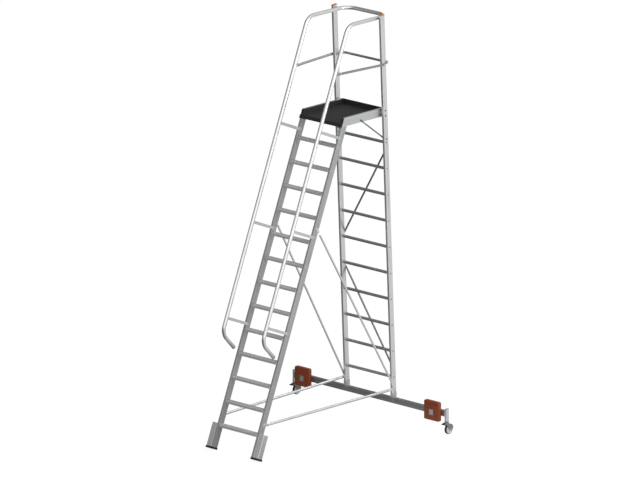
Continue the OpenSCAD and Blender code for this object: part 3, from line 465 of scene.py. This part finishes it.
def path_rings(path, section_at):
    """Rings square to the path; section_at(index) gives (thin, wide) points, turned least each time."""
    rings = []
    thin = None
    for i, point in enumerate(path):
        ahead = path[min(i + 1, len(path) - 1)]
        behind = path[max(i - 1, 0)]
        tangent = (ahead - behind).normalized()
        if thin is None:
            thin = tangent.orthogonal().normalized()
        thin = (thin - tangent * thin.dot(tangent)).normalized()
        wide = tangent.cross(thin)
        rings.append([point + thin * a + wide * b for a, b in section_at(i)])
    return rings


def along_line(corners, distance):
    """Point at a distance along a polyline, running on straight past either end."""
    left = distance
    for first, second in zip(corners, corners[1:]):
        length = (second - first).length
        if left <= length or second is corners[-1]:
            return first + (second - first).normalized() * left
        left -= length
    return corners[-1]


def swaged_tube(name, bolts, lean, od, flats, key="tube", flat_t=FLAT_T, end_width=1.25):
    """A tube pressed flat at both ends, each end rounded about its bolt; the flats are square to lean."""
    first, last = bolts
    half = od * end_width / 2
    axis = last - first
    axis = (axis - lean * lean.dot(axis)).normalized()
    corners = [first, first + axis * flats[0], last - axis * flats[1], last]
    total = sum((b - a).length for a, b in zip(corners, corners[1:]))
    blend_len = od * 0.9
    stations = []
    for k in range(1, 7):
        stations.append(-half * math.cos(math.radians(15 * k)))
    stations += [flats[0] * 0.5, flats[0] - 0.002]
    stations += [flats[0] + blend_len * k / 8 for k in range(9)]
    round_len = total - sum(flats) - 2 * blend_len
    middle_stations = [flats[0] + blend_len + round_len * k / 6 for k in range(1, 6)]
    far = []
    for k in range(9):
        far.append(total - flats[1] - blend_len + blend_len * k / 8)
    far += [total - flats[1] + 0.002, total - flats[1] * 0.5]
    for k in range(6, 0, -1):
        far.append(total + half * math.cos(math.radians(15 * k)))
    stations += middle_stations + far

    def smooth_centre(s):
        window = 0.5 * blend_len
        samples = [along_line(corners, s + window * w) for w in (-1, -0.5, 0, 0.5, 1)]
        return sum(samples, Vector()) / len(samples)

    rings = []
    for s in stations:
        inner = min(s - flats[0], total - flats[1] - s) / blend_len
        t = max(0.0, min(1.0, inner))
        t = t * t * (3 - 2 * t)
        wide_half = half * (1 - t) + od / 2 * t
        thin_half = flat_t / 2 * (1 - t) + od / 2 * t
        over = max(-s, s - total, 0) / half
        wide_half *= math.sqrt(max(0.0, 1 - over * over))
        centre_point = smooth_centre(s)
        tangent = (smooth_centre(s + MM) - smooth_centre(s - MM)).normalized()
        wide = tangent.cross(lean).normalized()
        thin = wide.cross(tangent)
        power = 2 + 5 * (1 - t)
        rings.append([centre_point + thin * a + wide * b for a, b in oval(thin_half, wide_half, power)])
    verts, faces = skin(rings)
    return add_piece(name, verts, faces, key, "frame", 50)


def lathe(profile_at, count, x_centre, axle):
    """Turned shape about an axle along X; profile_at(k) gives (x, radius) points for step k of count."""
    rings = []
    for k in range(count):
        angle = 2 * math.pi * k / count
        rings.append([Vector((x_centre + x, axle.y + r * math.cos(angle), axle.z + r * math.sin(angle)))
                      for x, r in profile_at(k)])
    return skin(rings, loop=True)


def prism(outline, x0, x1, edge):
    """An outline in (y, z), counter-clockwise, carried from x0 to x1 with chamfered rims."""
    centre_y = sum(p[0] for p in outline) / len(outline)
    centre_z = sum(p[1] for p in outline) / len(outline)

    def ring(x, inset):
        points = []
        for y, z in outline:
            away = Vector((y - centre_y, z - centre_z))
            shrink = max(0.0, 1 - inset / max(away.length, 1e-6))
            points.append(Vector((x, centre_y + away.x * shrink, centre_z + away.y * shrink)))
        return points

    return skin([ring(x0, edge), ring(x0 + edge, 0), ring(x1 - edge, 0), ring(x1, edge)])


def weld_bead(name, corners, radius, body, loop=True):
    """A rippled bead along a path."""
    dense = []
    pitch = 0.0022
    ends = corners + corners[:1] if loop else corners
    for first, second in zip(ends, ends[1:]):
        steps = max(1, round((second - first).length / pitch))
        dense += [first.lerp(second, k / steps) for k in range(steps)]
    if not loop:
        dense.append(ends[-1])
    rings = []
    for i, point in enumerate(dense):
        ahead = dense[(i + 1) % len(dense)] if loop or i + 1 < len(dense) else point
        behind = dense[i - 1] if loop or i > 0 else point
        tangent = (ahead - behind).normalized()
        thin = tangent.cross(Vector((0.31, 0.52, 0.79))).normalized()
        wide = tangent.cross(thin)
        r = radius * (1.12 if i % 2 else 0.88)
        rings.append([point + thin * a + wide * b for a, b in oval(r, r, 2, 10)])
    verts, faces = skin(rings, loop)
    return add_piece(name, verts, faces, "weld", body, 80)


# ---------- tubes ----------

SIDE = {"left": -1, "right": 1}
X_AXIS = Vector((1, 0, 0))


def bolt_pair(node, half, s, x_first, x_last, rising=False):
    """The two bolts of a flattened tube, from the rounded ends that fill the node's box."""
    low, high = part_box(node)
    z_first = low.z + half if rising else high.z - half
    z_last = high.z - half if rising else low.z + half
    return (Vector((s * x_first, low.y + half, z_first)), Vector((s * x_last, high.y - half, z_last)))


for side_name, s in SIDE.items():
    on_stile = OUTER_X + SEAT + FLAT_T / 2
    on_rear = REAR_OUT_X + SEAT + FLAT_T / 2

    brace_od = 0.0216
    pair = bolt_pair("side_brace_" + side_name, brace_od * 0.625, s, on_stile, on_rear + FLAT_T + 2 * SEAT)
    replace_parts(swaged_tube("brace_tube_" + side_name, pair, X_AXIS, brace_od, (0.052, 0.072)),
                "side_brace_" + side_name)

    bar_od = 0.027
    pair = bolt_pair("base_bar_" + side_name, bar_od * 0.625, s, on_stile, on_rear)
    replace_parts(swaged_tube("base_tube_" + side_name, pair, X_AXIS, bar_od, (0.044, 0.040)),
                "base_bar_" + side_name)

    strut_od = 0.015
    in_rear = REAR_IN_X - SEAT - FLAT_T / 2
    pair = bolt_pair("platform_strut_" + side_name, strut_od * 0.625, s, on_stile, in_rear)
    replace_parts(swaged_tube("strut_tube_" + side_name, pair, X_AXIS, strut_od, (0.048, 0.050), "brace"),
                "platform_strut_" + side_name)

# knee rails: lug on the handrail to the outside of the rear stile
KNEE_OD = 0.025
KNEE_HALF = KNEE_OD * 0.625
KNEE_Z = middle("knee_rail_back").z
HAND_OD = 0.04
hand_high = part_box("handrail_right")[1]
HAND_X = hand_high.x - size("handrail_right").x / 2
HAND_STAND = 0.3
GUARD_Z = middle("guardrail_splice").z
BEND_R = 0.13
HAND_LOW_Z = 1.211
HAND_TAIL = Vector((0, 0.682, -0.731)) * 0.25
LUG_REACH = 0.042


def hand_y(z):
    foot = Vector((0, FOOT_Y, 0)) - INTO_LADDER * HAND_STAND
    return foot.y + (z - foot.z) * math.tan(TILT)


def plate_layers(edge):
    """Offsets through a flattened tube end, with how far each layer's outline draws in at the edges."""
    half = FLAT_T / 2
    return (-half, edge), (-half + edge, 0), (half - edge, 0), (half, edge)


def rear_face_y(z):
    """Front face of the rear stiles, which lean towards the ladder."""
    front_top_z = rear_high.z - REAR_D * math.sin(REAR_LEAN)
    return rear_low.y + (front_top_z - z) * math.tan(REAR_LEAN)


lug_y = hand_y(KNEE_Z) + LUG_REACH
knee_bolt_y = rear_face_y(KNEE_Z) + REAR_D / 2

for side_name, s in SIDE.items():
    pair = (Vector((s * (HAND_X + FLAT_T + SEAT), lug_y, KNEE_Z)),
            Vector((s * (REAR_OUT_X + SEAT + FLAT_T / 2), knee_bolt_y, KNEE_Z)))
    # knee rails carry the darker tube finish: painted shade
    rail = swaged_tube("knee_tube_" + side_name, pair, X_AXIS, KNEE_OD, (0.020, 0.044), "shade_painted_tube")
    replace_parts(rail, "knee_rail_" + side_name)

    # eye behind the rear stile, from the same flattened end
    low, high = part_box("knee_rail_" + side_name)
    eye_y = high.y - 0.011
    eye_z = KNEE_Z + math.tan(math.radians(35)) * (eye_y - knee_bolt_y)
    start = pair[1]
    end = Vector((start.x, eye_y, eye_z))
    direction = (end - start).normalized()
    across = direction.cross(X_AXIS)
    eye_rings = []
    for x, shrink in plate_layers(0.0004):
        r = 0.011 - shrink
        ring = []
        for k in range(25):
            angle = math.pi * (k / 24 - 0.5)
            ring.append(end + direction * r * math.cos(angle) + across * r * math.sin(angle) + X_AXIS * x)
        ring += [start + across * r + X_AXIS * x, start - across * r + X_AXIS * x]
        eye_rings.append(ring)
    verts, faces = skin(eye_rings)
    add_piece("knee_eye_" + side_name, verts, faces, "shade_painted_tube", "frame")

# back knee rail: bent forward at both ends, its flats inside the rear stiles
back_x = REAR_IN_X - SEAT - FLAT_T / 2
back_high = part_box("knee_rail_back")[1]
back_y = back_high.y - KNEE_OD / 2
KNEE_BEND_R = 0.036


def back_rail():
    path = rounded_path([Vector((-back_x, knee_bolt_y, KNEE_Z)), Vector((-back_x, back_y, KNEE_Z)),
                         Vector((back_x, back_y, KNEE_Z)), Vector((back_x, knee_bolt_y, KNEE_Z))],
                        KNEE_BEND_R, math.radians(6))
    flat_len = (back_y - KNEE_BEND_R) - knee_bolt_y - KNEE_OD * 0.9
    rings = []
    for s in (-1, 1):
        head = []
        for k in range(1, 7):
            angle = math.radians(15 * k)
            head.append((knee_bolt_y - KNEE_HALF * math.cos(angle), 0.0, math.sin(angle)))
        for k in range(9):
            head.append((knee_bolt_y + flat_len + KNEE_OD * 0.9 * k / 8, k / 8, 1.0))
        part = []
        for y, t, round_end in head:
            t = t * t * (3 - 2 * t)
            wide = (KNEE_HALF * (1 - t) + KNEE_OD / 2 * t) * round_end
            thin = FLAT_T / 2 * (1 - t) + KNEE_OD / 2 * t
            section = oval(thin, wide, 2 + 5 * (1 - t))
            part.append([Vector((s * back_x - s * a, y, KNEE_Z + b)) for a, b in section])
        rings.append(part)
    bend = path[1:-1]
    middle_rings = []
    for i, point in enumerate(bend):
        ahead = bend[min(i + 1, len(bend) - 1)]
        behind = bend[max(i - 1, 0)]
        tangent = (ahead - behind).normalized()
        up = Vector((0, 0, 1))
        thin = up.cross(tangent)
        middle_rings.append([point - thin * a + up * b for a, b in oval(KNEE_OD / 2, KNEE_OD / 2, 2)])
    mirrored = []
    for ring in reversed(rings[1]):
        mirrored.append([ring[(16 - k) % 32] for k in range(32)])
    return skin(rings[0] + middle_rings + mirrored)


verts, faces = back_rail()
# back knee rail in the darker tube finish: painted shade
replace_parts(add_piece("knee_tube_back", verts, faces, "shade_painted_tube", "frame", 50), "knee_rail_back")

# ---------- handrails and guard rail ----------


def tube_with_open_end(name, path, od, key):
    """Round tube; its first end is open and rolled, with a plug set back inside."""
    radius = od / 2
    bore = radius - 0.0018
    circle = path_rings(path, lambda i: oval(radius, radius, 2, 40))
    axis = (path[1] - path[0]).normalized()

    def first_ring(r, forward):
        centre_point = path[0]
        return [centre_point + (p - centre_point).normalized() * r + axis * forward for p in circle[0]]

    end = [first_ring(bore, 0.006), first_ring(bore, 0.0005), first_ring(bore + 0.0004, 0.0),
           first_ring(radius - 0.0004, 0.0), first_ring(radius, 0.0005)]
    verts, faces = skin(end + circle[1:])
    return add_piece(name, verts, faces, key, "frame", 40)


def hand_corners(x):
    bottom = Vector((x, hand_y(HAND_LOW_Z), HAND_LOW_Z))
    return [bottom + HAND_TAIL, bottom, Vector((x, hand_y(GUARD_Z), GUARD_Z))]


guard_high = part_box("guardrail_left")[1]
guard_back_y = guard_high.y - HAND_OD / 2 - 0.0004
splice_y = hand_high.y
left_corners = hand_corners(-HAND_X) + [Vector((-HAND_X, guard_back_y, GUARD_Z)),
                                        Vector((HAND_X, guard_back_y, GUARD_Z)),
                                        Vector((HAND_X, splice_y + 0.0002, GUARD_Z))]
right_corners = hand_corners(HAND_X) + [Vector((HAND_X, splice_y - 0.0002, GUARD_Z))]
rail_left = tube_with_open_end("guard_tube_left", rounded_path(left_corners, BEND_R), HAND_OD, "tube")
rail_right = tube_with_open_end("hand_tube_right", rounded_path(right_corners, BEND_R), HAND_OD, "tube")
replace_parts(rail_left, "guardrail_left")
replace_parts(rail_right, "handrail_right")

for side_name, s in SIDE.items():
    x = s * HAND_X
    lug_rings = []
    for offset, shrink in plate_layers(0.0005):
        r = 0.013 - shrink
        root_y = hand_y(KNEE_Z) + 0.010
        ring = [Vector((x + offset, root_y, KNEE_Z - r)), Vector((x + offset, root_y, KNEE_Z + r))]
        for k in range(25):
            angle = math.pi * (0.5 - k / 24)
            ring.append(Vector((x + offset, lug_y + r * math.cos(angle), KNEE_Z + r * math.sin(angle))))
        lug_rings.append(ring)
    verts, faces = skin(lug_rings)
    add_piece("knee_lug_" + side_name, verts, faces, "tube", "frame")

    # welds of the lug to the handrail
    surface_y = hand_y(KNEE_Z) + math.sqrt((HAND_OD / 2) ** 2 - 0.003 ** 2) / math.cos(TILT)
    slope = math.tan(TILT)
    for offset in (-0.003, 0.003):
        ends = [Vector((x + offset, surface_y + dz * slope, KNEE_Z + dz)) for dz in (-0.012, 0.012)]
        weld_bead("lug_weld_%s_%d" % (side_name, 1 if offset > 0 else 0), ends, 0.0022, "frame", False)

# rear diagonals
DIAG_OD = 0.02
DIAG_T = 0.003
REAR_BACK = Vector((0, math.cos(REAR_LEAN), math.sin(REAR_LEAN)))
rear_mid_x = (REAR_IN_X + REAR_OUT_X) / 2
for node, left_z_high in (("rear_brace_upper", False), ("rear_brace_lower", True)):
    low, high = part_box(node)
    z_left = high.z - 0.011 if left_z_high else low.z + 0.011
    z_right = low.z + 0.011 if left_z_high else high.z - 0.011
    pair = []
    for sx, z in ((-1, z_left), (1, z_right)):
        back = REAR_BACK * (REAR_D + SEAT + 0.0015)
        pair.append(Vector((sx * rear_mid_x, rear_face_y(z) + back.y / math.cos(REAR_LEAN) ** 2, z)))
    tube = swaged_tube(node.replace("brace", "diagonal"), tuple(pair), REAR_BACK, DIAG_OD,
                       (0.05, 0.05), "brace", DIAG_T, 1.1)
    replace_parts(tube, node)

# ---------- castors ----------

WHEEL_R = size("tyre_right").z / 2
WHEEL_W = size("tyre_right").x
RIM_R = size("wheel_hub_right").z / 2
STEPS = 96


def tyre_profile(k):
    """Rounded tread with two grooves round it and a shallow cut across each shoulder."""
    half = WHEEL_W / 2
    cut = 0.0012 if k % 4 == 0 else 0.0
    right = [(0.0012, WHEEL_R), (0.0040, WHEEL_R), (0.0044, WHEEL_R - 0.0011), (0.0060, WHEEL_R - 0.0011),
             (0.0064, WHEEL_R - 0.0002), (0.0092, WHEEL_R - 0.0006 - cut), (0.0118, WHEEL_R - 0.0016 - cut),
             (0.0136, WHEEL_R - 0.0032 - cut), (half - 0.0004, WHEEL_R - 0.0052), (half, RIM_R + 0.0018),
             (half - 0.0004, RIM_R + 0.0006), (half - 0.0012, RIM_R)]
    return [(-x, r) for x, r in reversed(right)] + right


def hub_profile(k):
    """Wheel disc: bearing boss, web with eight ribs, and the rim under the tyre."""
    to_rib = abs((k + STEPS / 16) % (STEPS / 8) - STEPS / 16)
    rib = 0.0032 if to_rib < 1 else 0.0
    right = [(0.0168, 0.0062), (0.0168, 0.0128), (0.0160, 0.0138), (0.0118 + rib * 0.6, 0.0160),
             (0.0086 + rib, 0.0200), (0.0078 + rib, 0.0330), (0.0088 + rib, 0.0350),
             (0.0138, 0.0378), (0.0145, 0.0386), (0.0145, RIM_R - 0.0004),
             (0.0138, RIM_R)]
    return [(-x, r) for x, r in reversed(right)] + right


def fork_cover(axle, x_centre):
    """Pressed cover over the rear upper quarter of the wheel, ending short of the stem's disc."""
    rings = []
    half = 0.0172
    inner = WHEEL_R + 0.0040
    outer = inner + 0.0016
    for k in range(19):
        angle = math.radians(38 + 3.75 * k)
        along = Vector((0, math.cos(angle), math.sin(angle)))
        lip = 0.0006 if k in (0, 18) else 0.0
        section = [(-half, inner + lip), (half, inner + lip), (half, outer - 0.0010),
                   (half - 0.0010, outer - lip), (-half + 0.0010, outer - lip), (-half, outer - 0.0010)]
        rings.append([Vector((x_centre + x, axle.y, axle.z)) + along * r for x, r in section])
    return skin(rings)


def pedal_outline(pivot):
    """Side of the brake pedal, (y, z): a ribbed toe pad that curves down from its pivot."""
    top = []
    ribs = 5
    for k in range(ribs * 4 + 1):
        y = -0.0335 + 0.021 * k / (ribs * 4)
        rise = 0.0014 if k % 4 in (1, 2) else 0.0
        top.append((y, 0.0012 + 0.0016 * (k / (ribs * 4)) + rise))
    outline = [(-0.0335, -0.0050), (-0.0305, -0.0076), (-0.0250, -0.0074), (-0.0120, -0.0040),
               (-0.0052, -0.0050)]
    for k in range(9):
        angle = math.radians(-75 + 150 * k / 8)
        outline.append((0.0058 * math.cos(angle), 0.0058 * math.sin(angle)))
    outline += list(reversed(top))
    return [(pivot.y + y, pivot.z + z) for y, z in outline]


for side_name, s in SIDE.items():
    axle = joint_place("wheel_spin_" + side_name)
    wheel_body = "wheel_" + side_name
    verts, faces = lathe(tyre_profile, STEPS, axle.x, axle)
    tread = add_piece("tyre_tread_" + side_name, verts, faces, "rubber", wheel_body, 30)
    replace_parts(tread, "tyre_" + side_name)
    verts, faces = lathe(hub_profile, STEPS, axle.x, axle)
    disc = add_piece("wheel_disc_" + side_name, verts, faces, "wheel", wheel_body, 30)
    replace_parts(disc, "wheel_hub_" + side_name)
    verts, faces = fork_cover(axle, axle.x)
    add_piece("fork_cover_" + side_name, verts, faces, "fork", "castor_" + side_name, 30)
    pivot = joint_place("brake_pedal_press_" + side_name)
    verts, faces = prism(pedal_outline(pivot), pivot.x - 0.0112, pivot.x + 0.0112, 0.0008)
    add_piece("pedal_pad_" + side_name, verts, faces, "black", "pedal_" + side_name, 30)

# ---------- foot shoes ----------

CAP_LIP = 0.004
CAP_H = 0.022
CAP_FLOOR = 0.008
CAP_CUT = 0.003
SOLE_UP = (STILE_D + CAP_LIP) * math.tan(TILT) - CAP_CUT
shoe_low, shoe_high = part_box("foot_cap_right")


def foot_shoe(s):
    """Rubber shoe square to the ladder: grooved sides, rear edge cut flat by the floor, open pocket."""
    width = shoe_high.x - shoe_low.x
    depth = STILE_D + 2 * CAP_LIP
    x_mid = (shoe_low.x + shoe_high.x) / 2
    outline = rounded_outline(width, depth, 0.006)
    pocket = rounded_outline(width - 2 * CAP_LIP + 0.0004, depth - 2 * CAP_LIP + 0.0004, 0.002)

    def ring(points, up, inset=0.0):
        placed = []
        for px, pd in points:
            across = px * (1 - 2 * inset / width)
            into = pd * (1 - 2 * inset / depth) + STILE_D / 2
            point = Vector((s * (x_mid + across), FOOT_Y, 0)) + INTO_LADDER * into
            point += UP_LADDER * (SOLE_UP + up)
            if point.z < 0:
                point -= UP_LADDER * (point.z / UP_LADDER.z)
            placed.append(point)
        return placed

    rings = [ring(outline, 0.0, 0.0010), ring(outline, 0.0010)]
    for groove in (0.0060, 0.0105, 0.0150):
        rings += [ring(outline, groove - 0.0010), ring(outline, groove - 0.0005, 0.0009),
                  ring(outline, groove + 0.0005, 0.0009), ring(outline, groove + 0.0010)]
    rings += [ring(outline, CAP_H - 0.0010), ring(outline, CAP_H, 0.0010)]
    rings += [ring(pocket, CAP_H), ring(pocket, CAP_FLOOR)]
    return skin(rings)


for side_name, s in SIDE.items():
    verts, faces = foot_shoe(s)
    shoe = add_piece("foot_shoe_" + side_name, verts, faces, "rubber", "frame", 30)
    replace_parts(shoe, "foot_cap_" + side_name)

# ---------- ballast blocks ----------


def ballast_block(side_name):
    """Cast block with rounded rims and a sunk seat for its centre plate."""
    low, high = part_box("ballast_" + side_name)
    width = high.x - low.x
    thick = high.y - low.y
    mid_x = (low.x + high.x) / 2
    mid_z = (low.z + high.z) / 2
    plate_low, plate_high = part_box("ballast_plates")
    plate_z = (plate_low.z + plate_high.z) / 2
    seat = 0.0062

    def ring(inset, forward):
        points = rounded_outline(width - 2 * inset, width - 2 * inset, max(0.014 - inset, 0.002), 6)
        return [Vector((mid_x + px, high.y - forward, mid_z + pz)) for px, pz in points]

    def seat_ring(forward):
        points = rounded_outline(0.058, 0.062, 0.005, 6)
        return [Vector((mid_x + px, high.y - forward, plate_z + pz)) for px, pz in points]

    rings = [ring(0.0022, 0.0), ring(0.0007, 0.0007), ring(0.0, 0.0022), ring(0.0, thick - 0.0035),
             ring(0.0010, thick - 0.0012), ring(0.0035, thick)]
    rings += [seat_ring(thick), seat_ring(thick - seat)]
    return skin(rings)


# the ballast blocks carry the orange finish darkened as painted shade
for side_name in SIDE:
    verts, faces = ballast_block(side_name)
    block = add_piece("ballast_block_" + side_name, verts, faces, "orange", "frame", 40)
    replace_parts(block, "ballast_" + side_name)

# ---------- welds of the castor posts ----------

WELD_SINK = 0.0004
beam_low, beam_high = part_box("traverse")
for side_name, s in SIDE.items():
    end_x = s * (beam_high.x - WELD_SINK)
    near_y = beam_low.y + WELD_SINK
    far_y = beam_high.y - WELD_SINK
    outline = ((near_y, beam_low.z), (near_y, beam_high.z), (far_y, beam_high.z), (far_y, beam_low.z))
    corners = [Vector((end_x, y, z)) for y, z in outline]
    weld_bead("post_weld_" + side_name, corners, 0.0024, "frame")

# ---------- camera, light and floor ----------

# brightness against direction: axis, where it starts and ends, strength at each end
SIDE_GLOW = ((0.72, 0.35, 0.60), -0.35, 0.75, 0.20, 0.82)
FRONT_GLOW = ((0.66, -0.70, 0.27), 0.35, 0.95, 0.0, 0.7)
FLOOR_BOUNCE = ((0.85, 0.53, 0), -2.0, 3.0, 0.12, 0.66)
FLOOR_GLOW = 1.12
FLOOR_SHADOW = 0.2

VIEW_AZIMUTH = math.radians(43.13)
VIEW_ELEVATION = math.radians(15.30)
VIEW_DISTANCE = 100.0
PIXELS_PER_METRE = 98.17
IMAGE_WIDTH = 640
SENSOR = 36.0


def make_camera(target):
    camera = bpy.data.cameras.new("camera")
    camera.sensor_width = SENSOR
    camera.lens = SENSOR * PIXELS_PER_METRE * VIEW_DISTANCE / IMAGE_WIDTH
    camera.clip_start = 1.0
    camera.clip_end = 1000.0
    holder = bpy.data.objects.new("camera", camera)
    bpy.context.scene.collection.objects.link(holder)
    back = Vector((math.sin(VIEW_AZIMUTH) * math.cos(VIEW_ELEVATION),
                   -math.cos(VIEW_AZIMUTH) * math.cos(VIEW_ELEVATION),
                   math.sin(VIEW_ELEVATION)))
    holder.location = target + back * VIEW_DISTANCE
    holder.rotation_euler = (-back).to_track_quat("-Z", "Y").to_euler()
    bpy.context.scene.camera = holder


def area_light(name, place, aim, width, height, power):
    light = bpy.data.lights.new(name, "AREA")
    light.shape = "RECTANGLE"
    light.size = width
    light.size_y = height
    light.energy = power
    holder = bpy.data.objects.new(name, light)
    bpy.context.scene.collection.objects.link(holder)
    holder.location = place
    holder.rotation_euler = (Vector(aim) - Vector(place)).to_track_quat("-Z", "Y").to_euler()


def sky_strength(tree, direction, axis, low, high, dark, bright):
    """Strength that rises smoothly from dark to bright as the direction turns towards the axis."""
    dot = tree.nodes.new("ShaderNodeVectorMath")
    dot.operation = "DOT_PRODUCT"
    tree.links.new(direction, dot.inputs[0])
    dot.inputs[1].default_value = axis
    ramp = tree.nodes.new("ShaderNodeMapRange")
    ramp.interpolation_type = "SMOOTHSTEP"
    for socket, value in zip(list(ramp.inputs)[1:5], (low, high, dark, bright)):
        socket.default_value = value
    tree.links.new(dot.outputs["Value"], ramp.inputs["Value"])
    return ramp.outputs[0]


def make_world():
    """White to the camera; to the object, bright from the right and above, with a glow in front."""
    world = bpy.data.worlds.new("studio")
    bpy.context.scene.world = world
    world.use_nodes = True
    tree = world.node_tree
    tree.nodes.clear()
    out = tree.nodes.new("ShaderNodeOutputWorld")
    direction = tree.nodes.new("ShaderNodeTexCoord").outputs["Generated"]
    lit = tree.nodes.new("ShaderNodeBackground")
    side = sky_strength(tree, direction, *SIDE_GLOW)
    front = sky_strength(tree, direction, *FRONT_GLOW)
    total = tree.nodes.new("ShaderNodeMath")
    tree.links.new(side, total.inputs[0])
    tree.links.new(front, total.inputs[1])
    tree.links.new(total.outputs[0], lit.inputs["Strength"])
    plain = tree.nodes.new("ShaderNodeBackground")
    plain.inputs["Color"].default_value = (1, 1, 1, 1)
    seen = tree.nodes.new("ShaderNodeMixShader")
    tree.links.new(tree.nodes.new("ShaderNodeLightPath").outputs["Is Camera Ray"], seen.inputs[0])
    tree.links.new(lit.outputs[0], seen.inputs[1])
    tree.links.new(plain.outputs[0], seen.inputs[2])
    tree.links.new(seen.outputs[0], out.inputs["Surface"])


def make_floor():
    """Pale to the camera, with a faint shadow; its reflection is darker towards the front left."""
    half = 400.0
    mesh = bpy.data.meshes.new("floor")
    mesh.from_pydata([(-half, -half, 0), (half, -half, 0), (half, half, 0), (-half, half, 0)],
                     [], [(0, 1, 2, 3)])
    floor = bpy.data.objects.new("floor", mesh)
    bpy.context.scene.collection.objects.link(floor)
    s = Shader("floor_pale")
    s.set(Roughness=0.9)
    cloud = s.noise(0.6, 3.0)
    s.color(s.mix(s.remap(cloud, 0.3, 0.7, 0, 1), (0.86, 0.86, 0.86), (0.89, 0.89, 0.89)))
    glow = s.add("ShaderNodeEmission")
    glow.inputs["Strength"].default_value = FLOOR_GLOW
    pale = s.add("ShaderNodeMixShader")
    pale.inputs[0].default_value = FLOOR_SHADOW
    s.link(glow.outputs[0], pale.inputs[1])
    s.link(s.bsdf.outputs[0], pale.inputs[2])
    card = s.add("ShaderNodeEmission")
    s.link(sky_strength(s.tree, s.place, *FLOOR_BOUNCE), card.inputs["Strength"])
    seen = s.add("ShaderNodeMixShader")
    s.link(s.add("ShaderNodeLightPath").outputs["Is Camera Ray"], seen.inputs[0])
    s.link(card.outputs[0], seen.inputs[1])
    s.link(pale.outputs[0], seen.inputs[2])
    s.link(seen.outputs[0], s.out.inputs["Surface"])
    mesh.materials.append(s.material)


centre = (cad_box[0] + cad_box[1]) / 2
make_camera(Vector((0.2709, FOOT_Y + 1.0419, 2.1289)))
make_world()
make_floor()
area_light("key", (10.5, 1.5, 6.5), centre, 4.0, 6.0, 380.0)
area_light("fill", (-6.0, -9.0, 6.0), centre, 6.0, 6.0, 40.0)
area_light("rim", (2.0, 10.0, 7.0), centre, 5.0, 4.0, 120.0)
bpy.context.scene.view_settings.view_transform = "Standard"
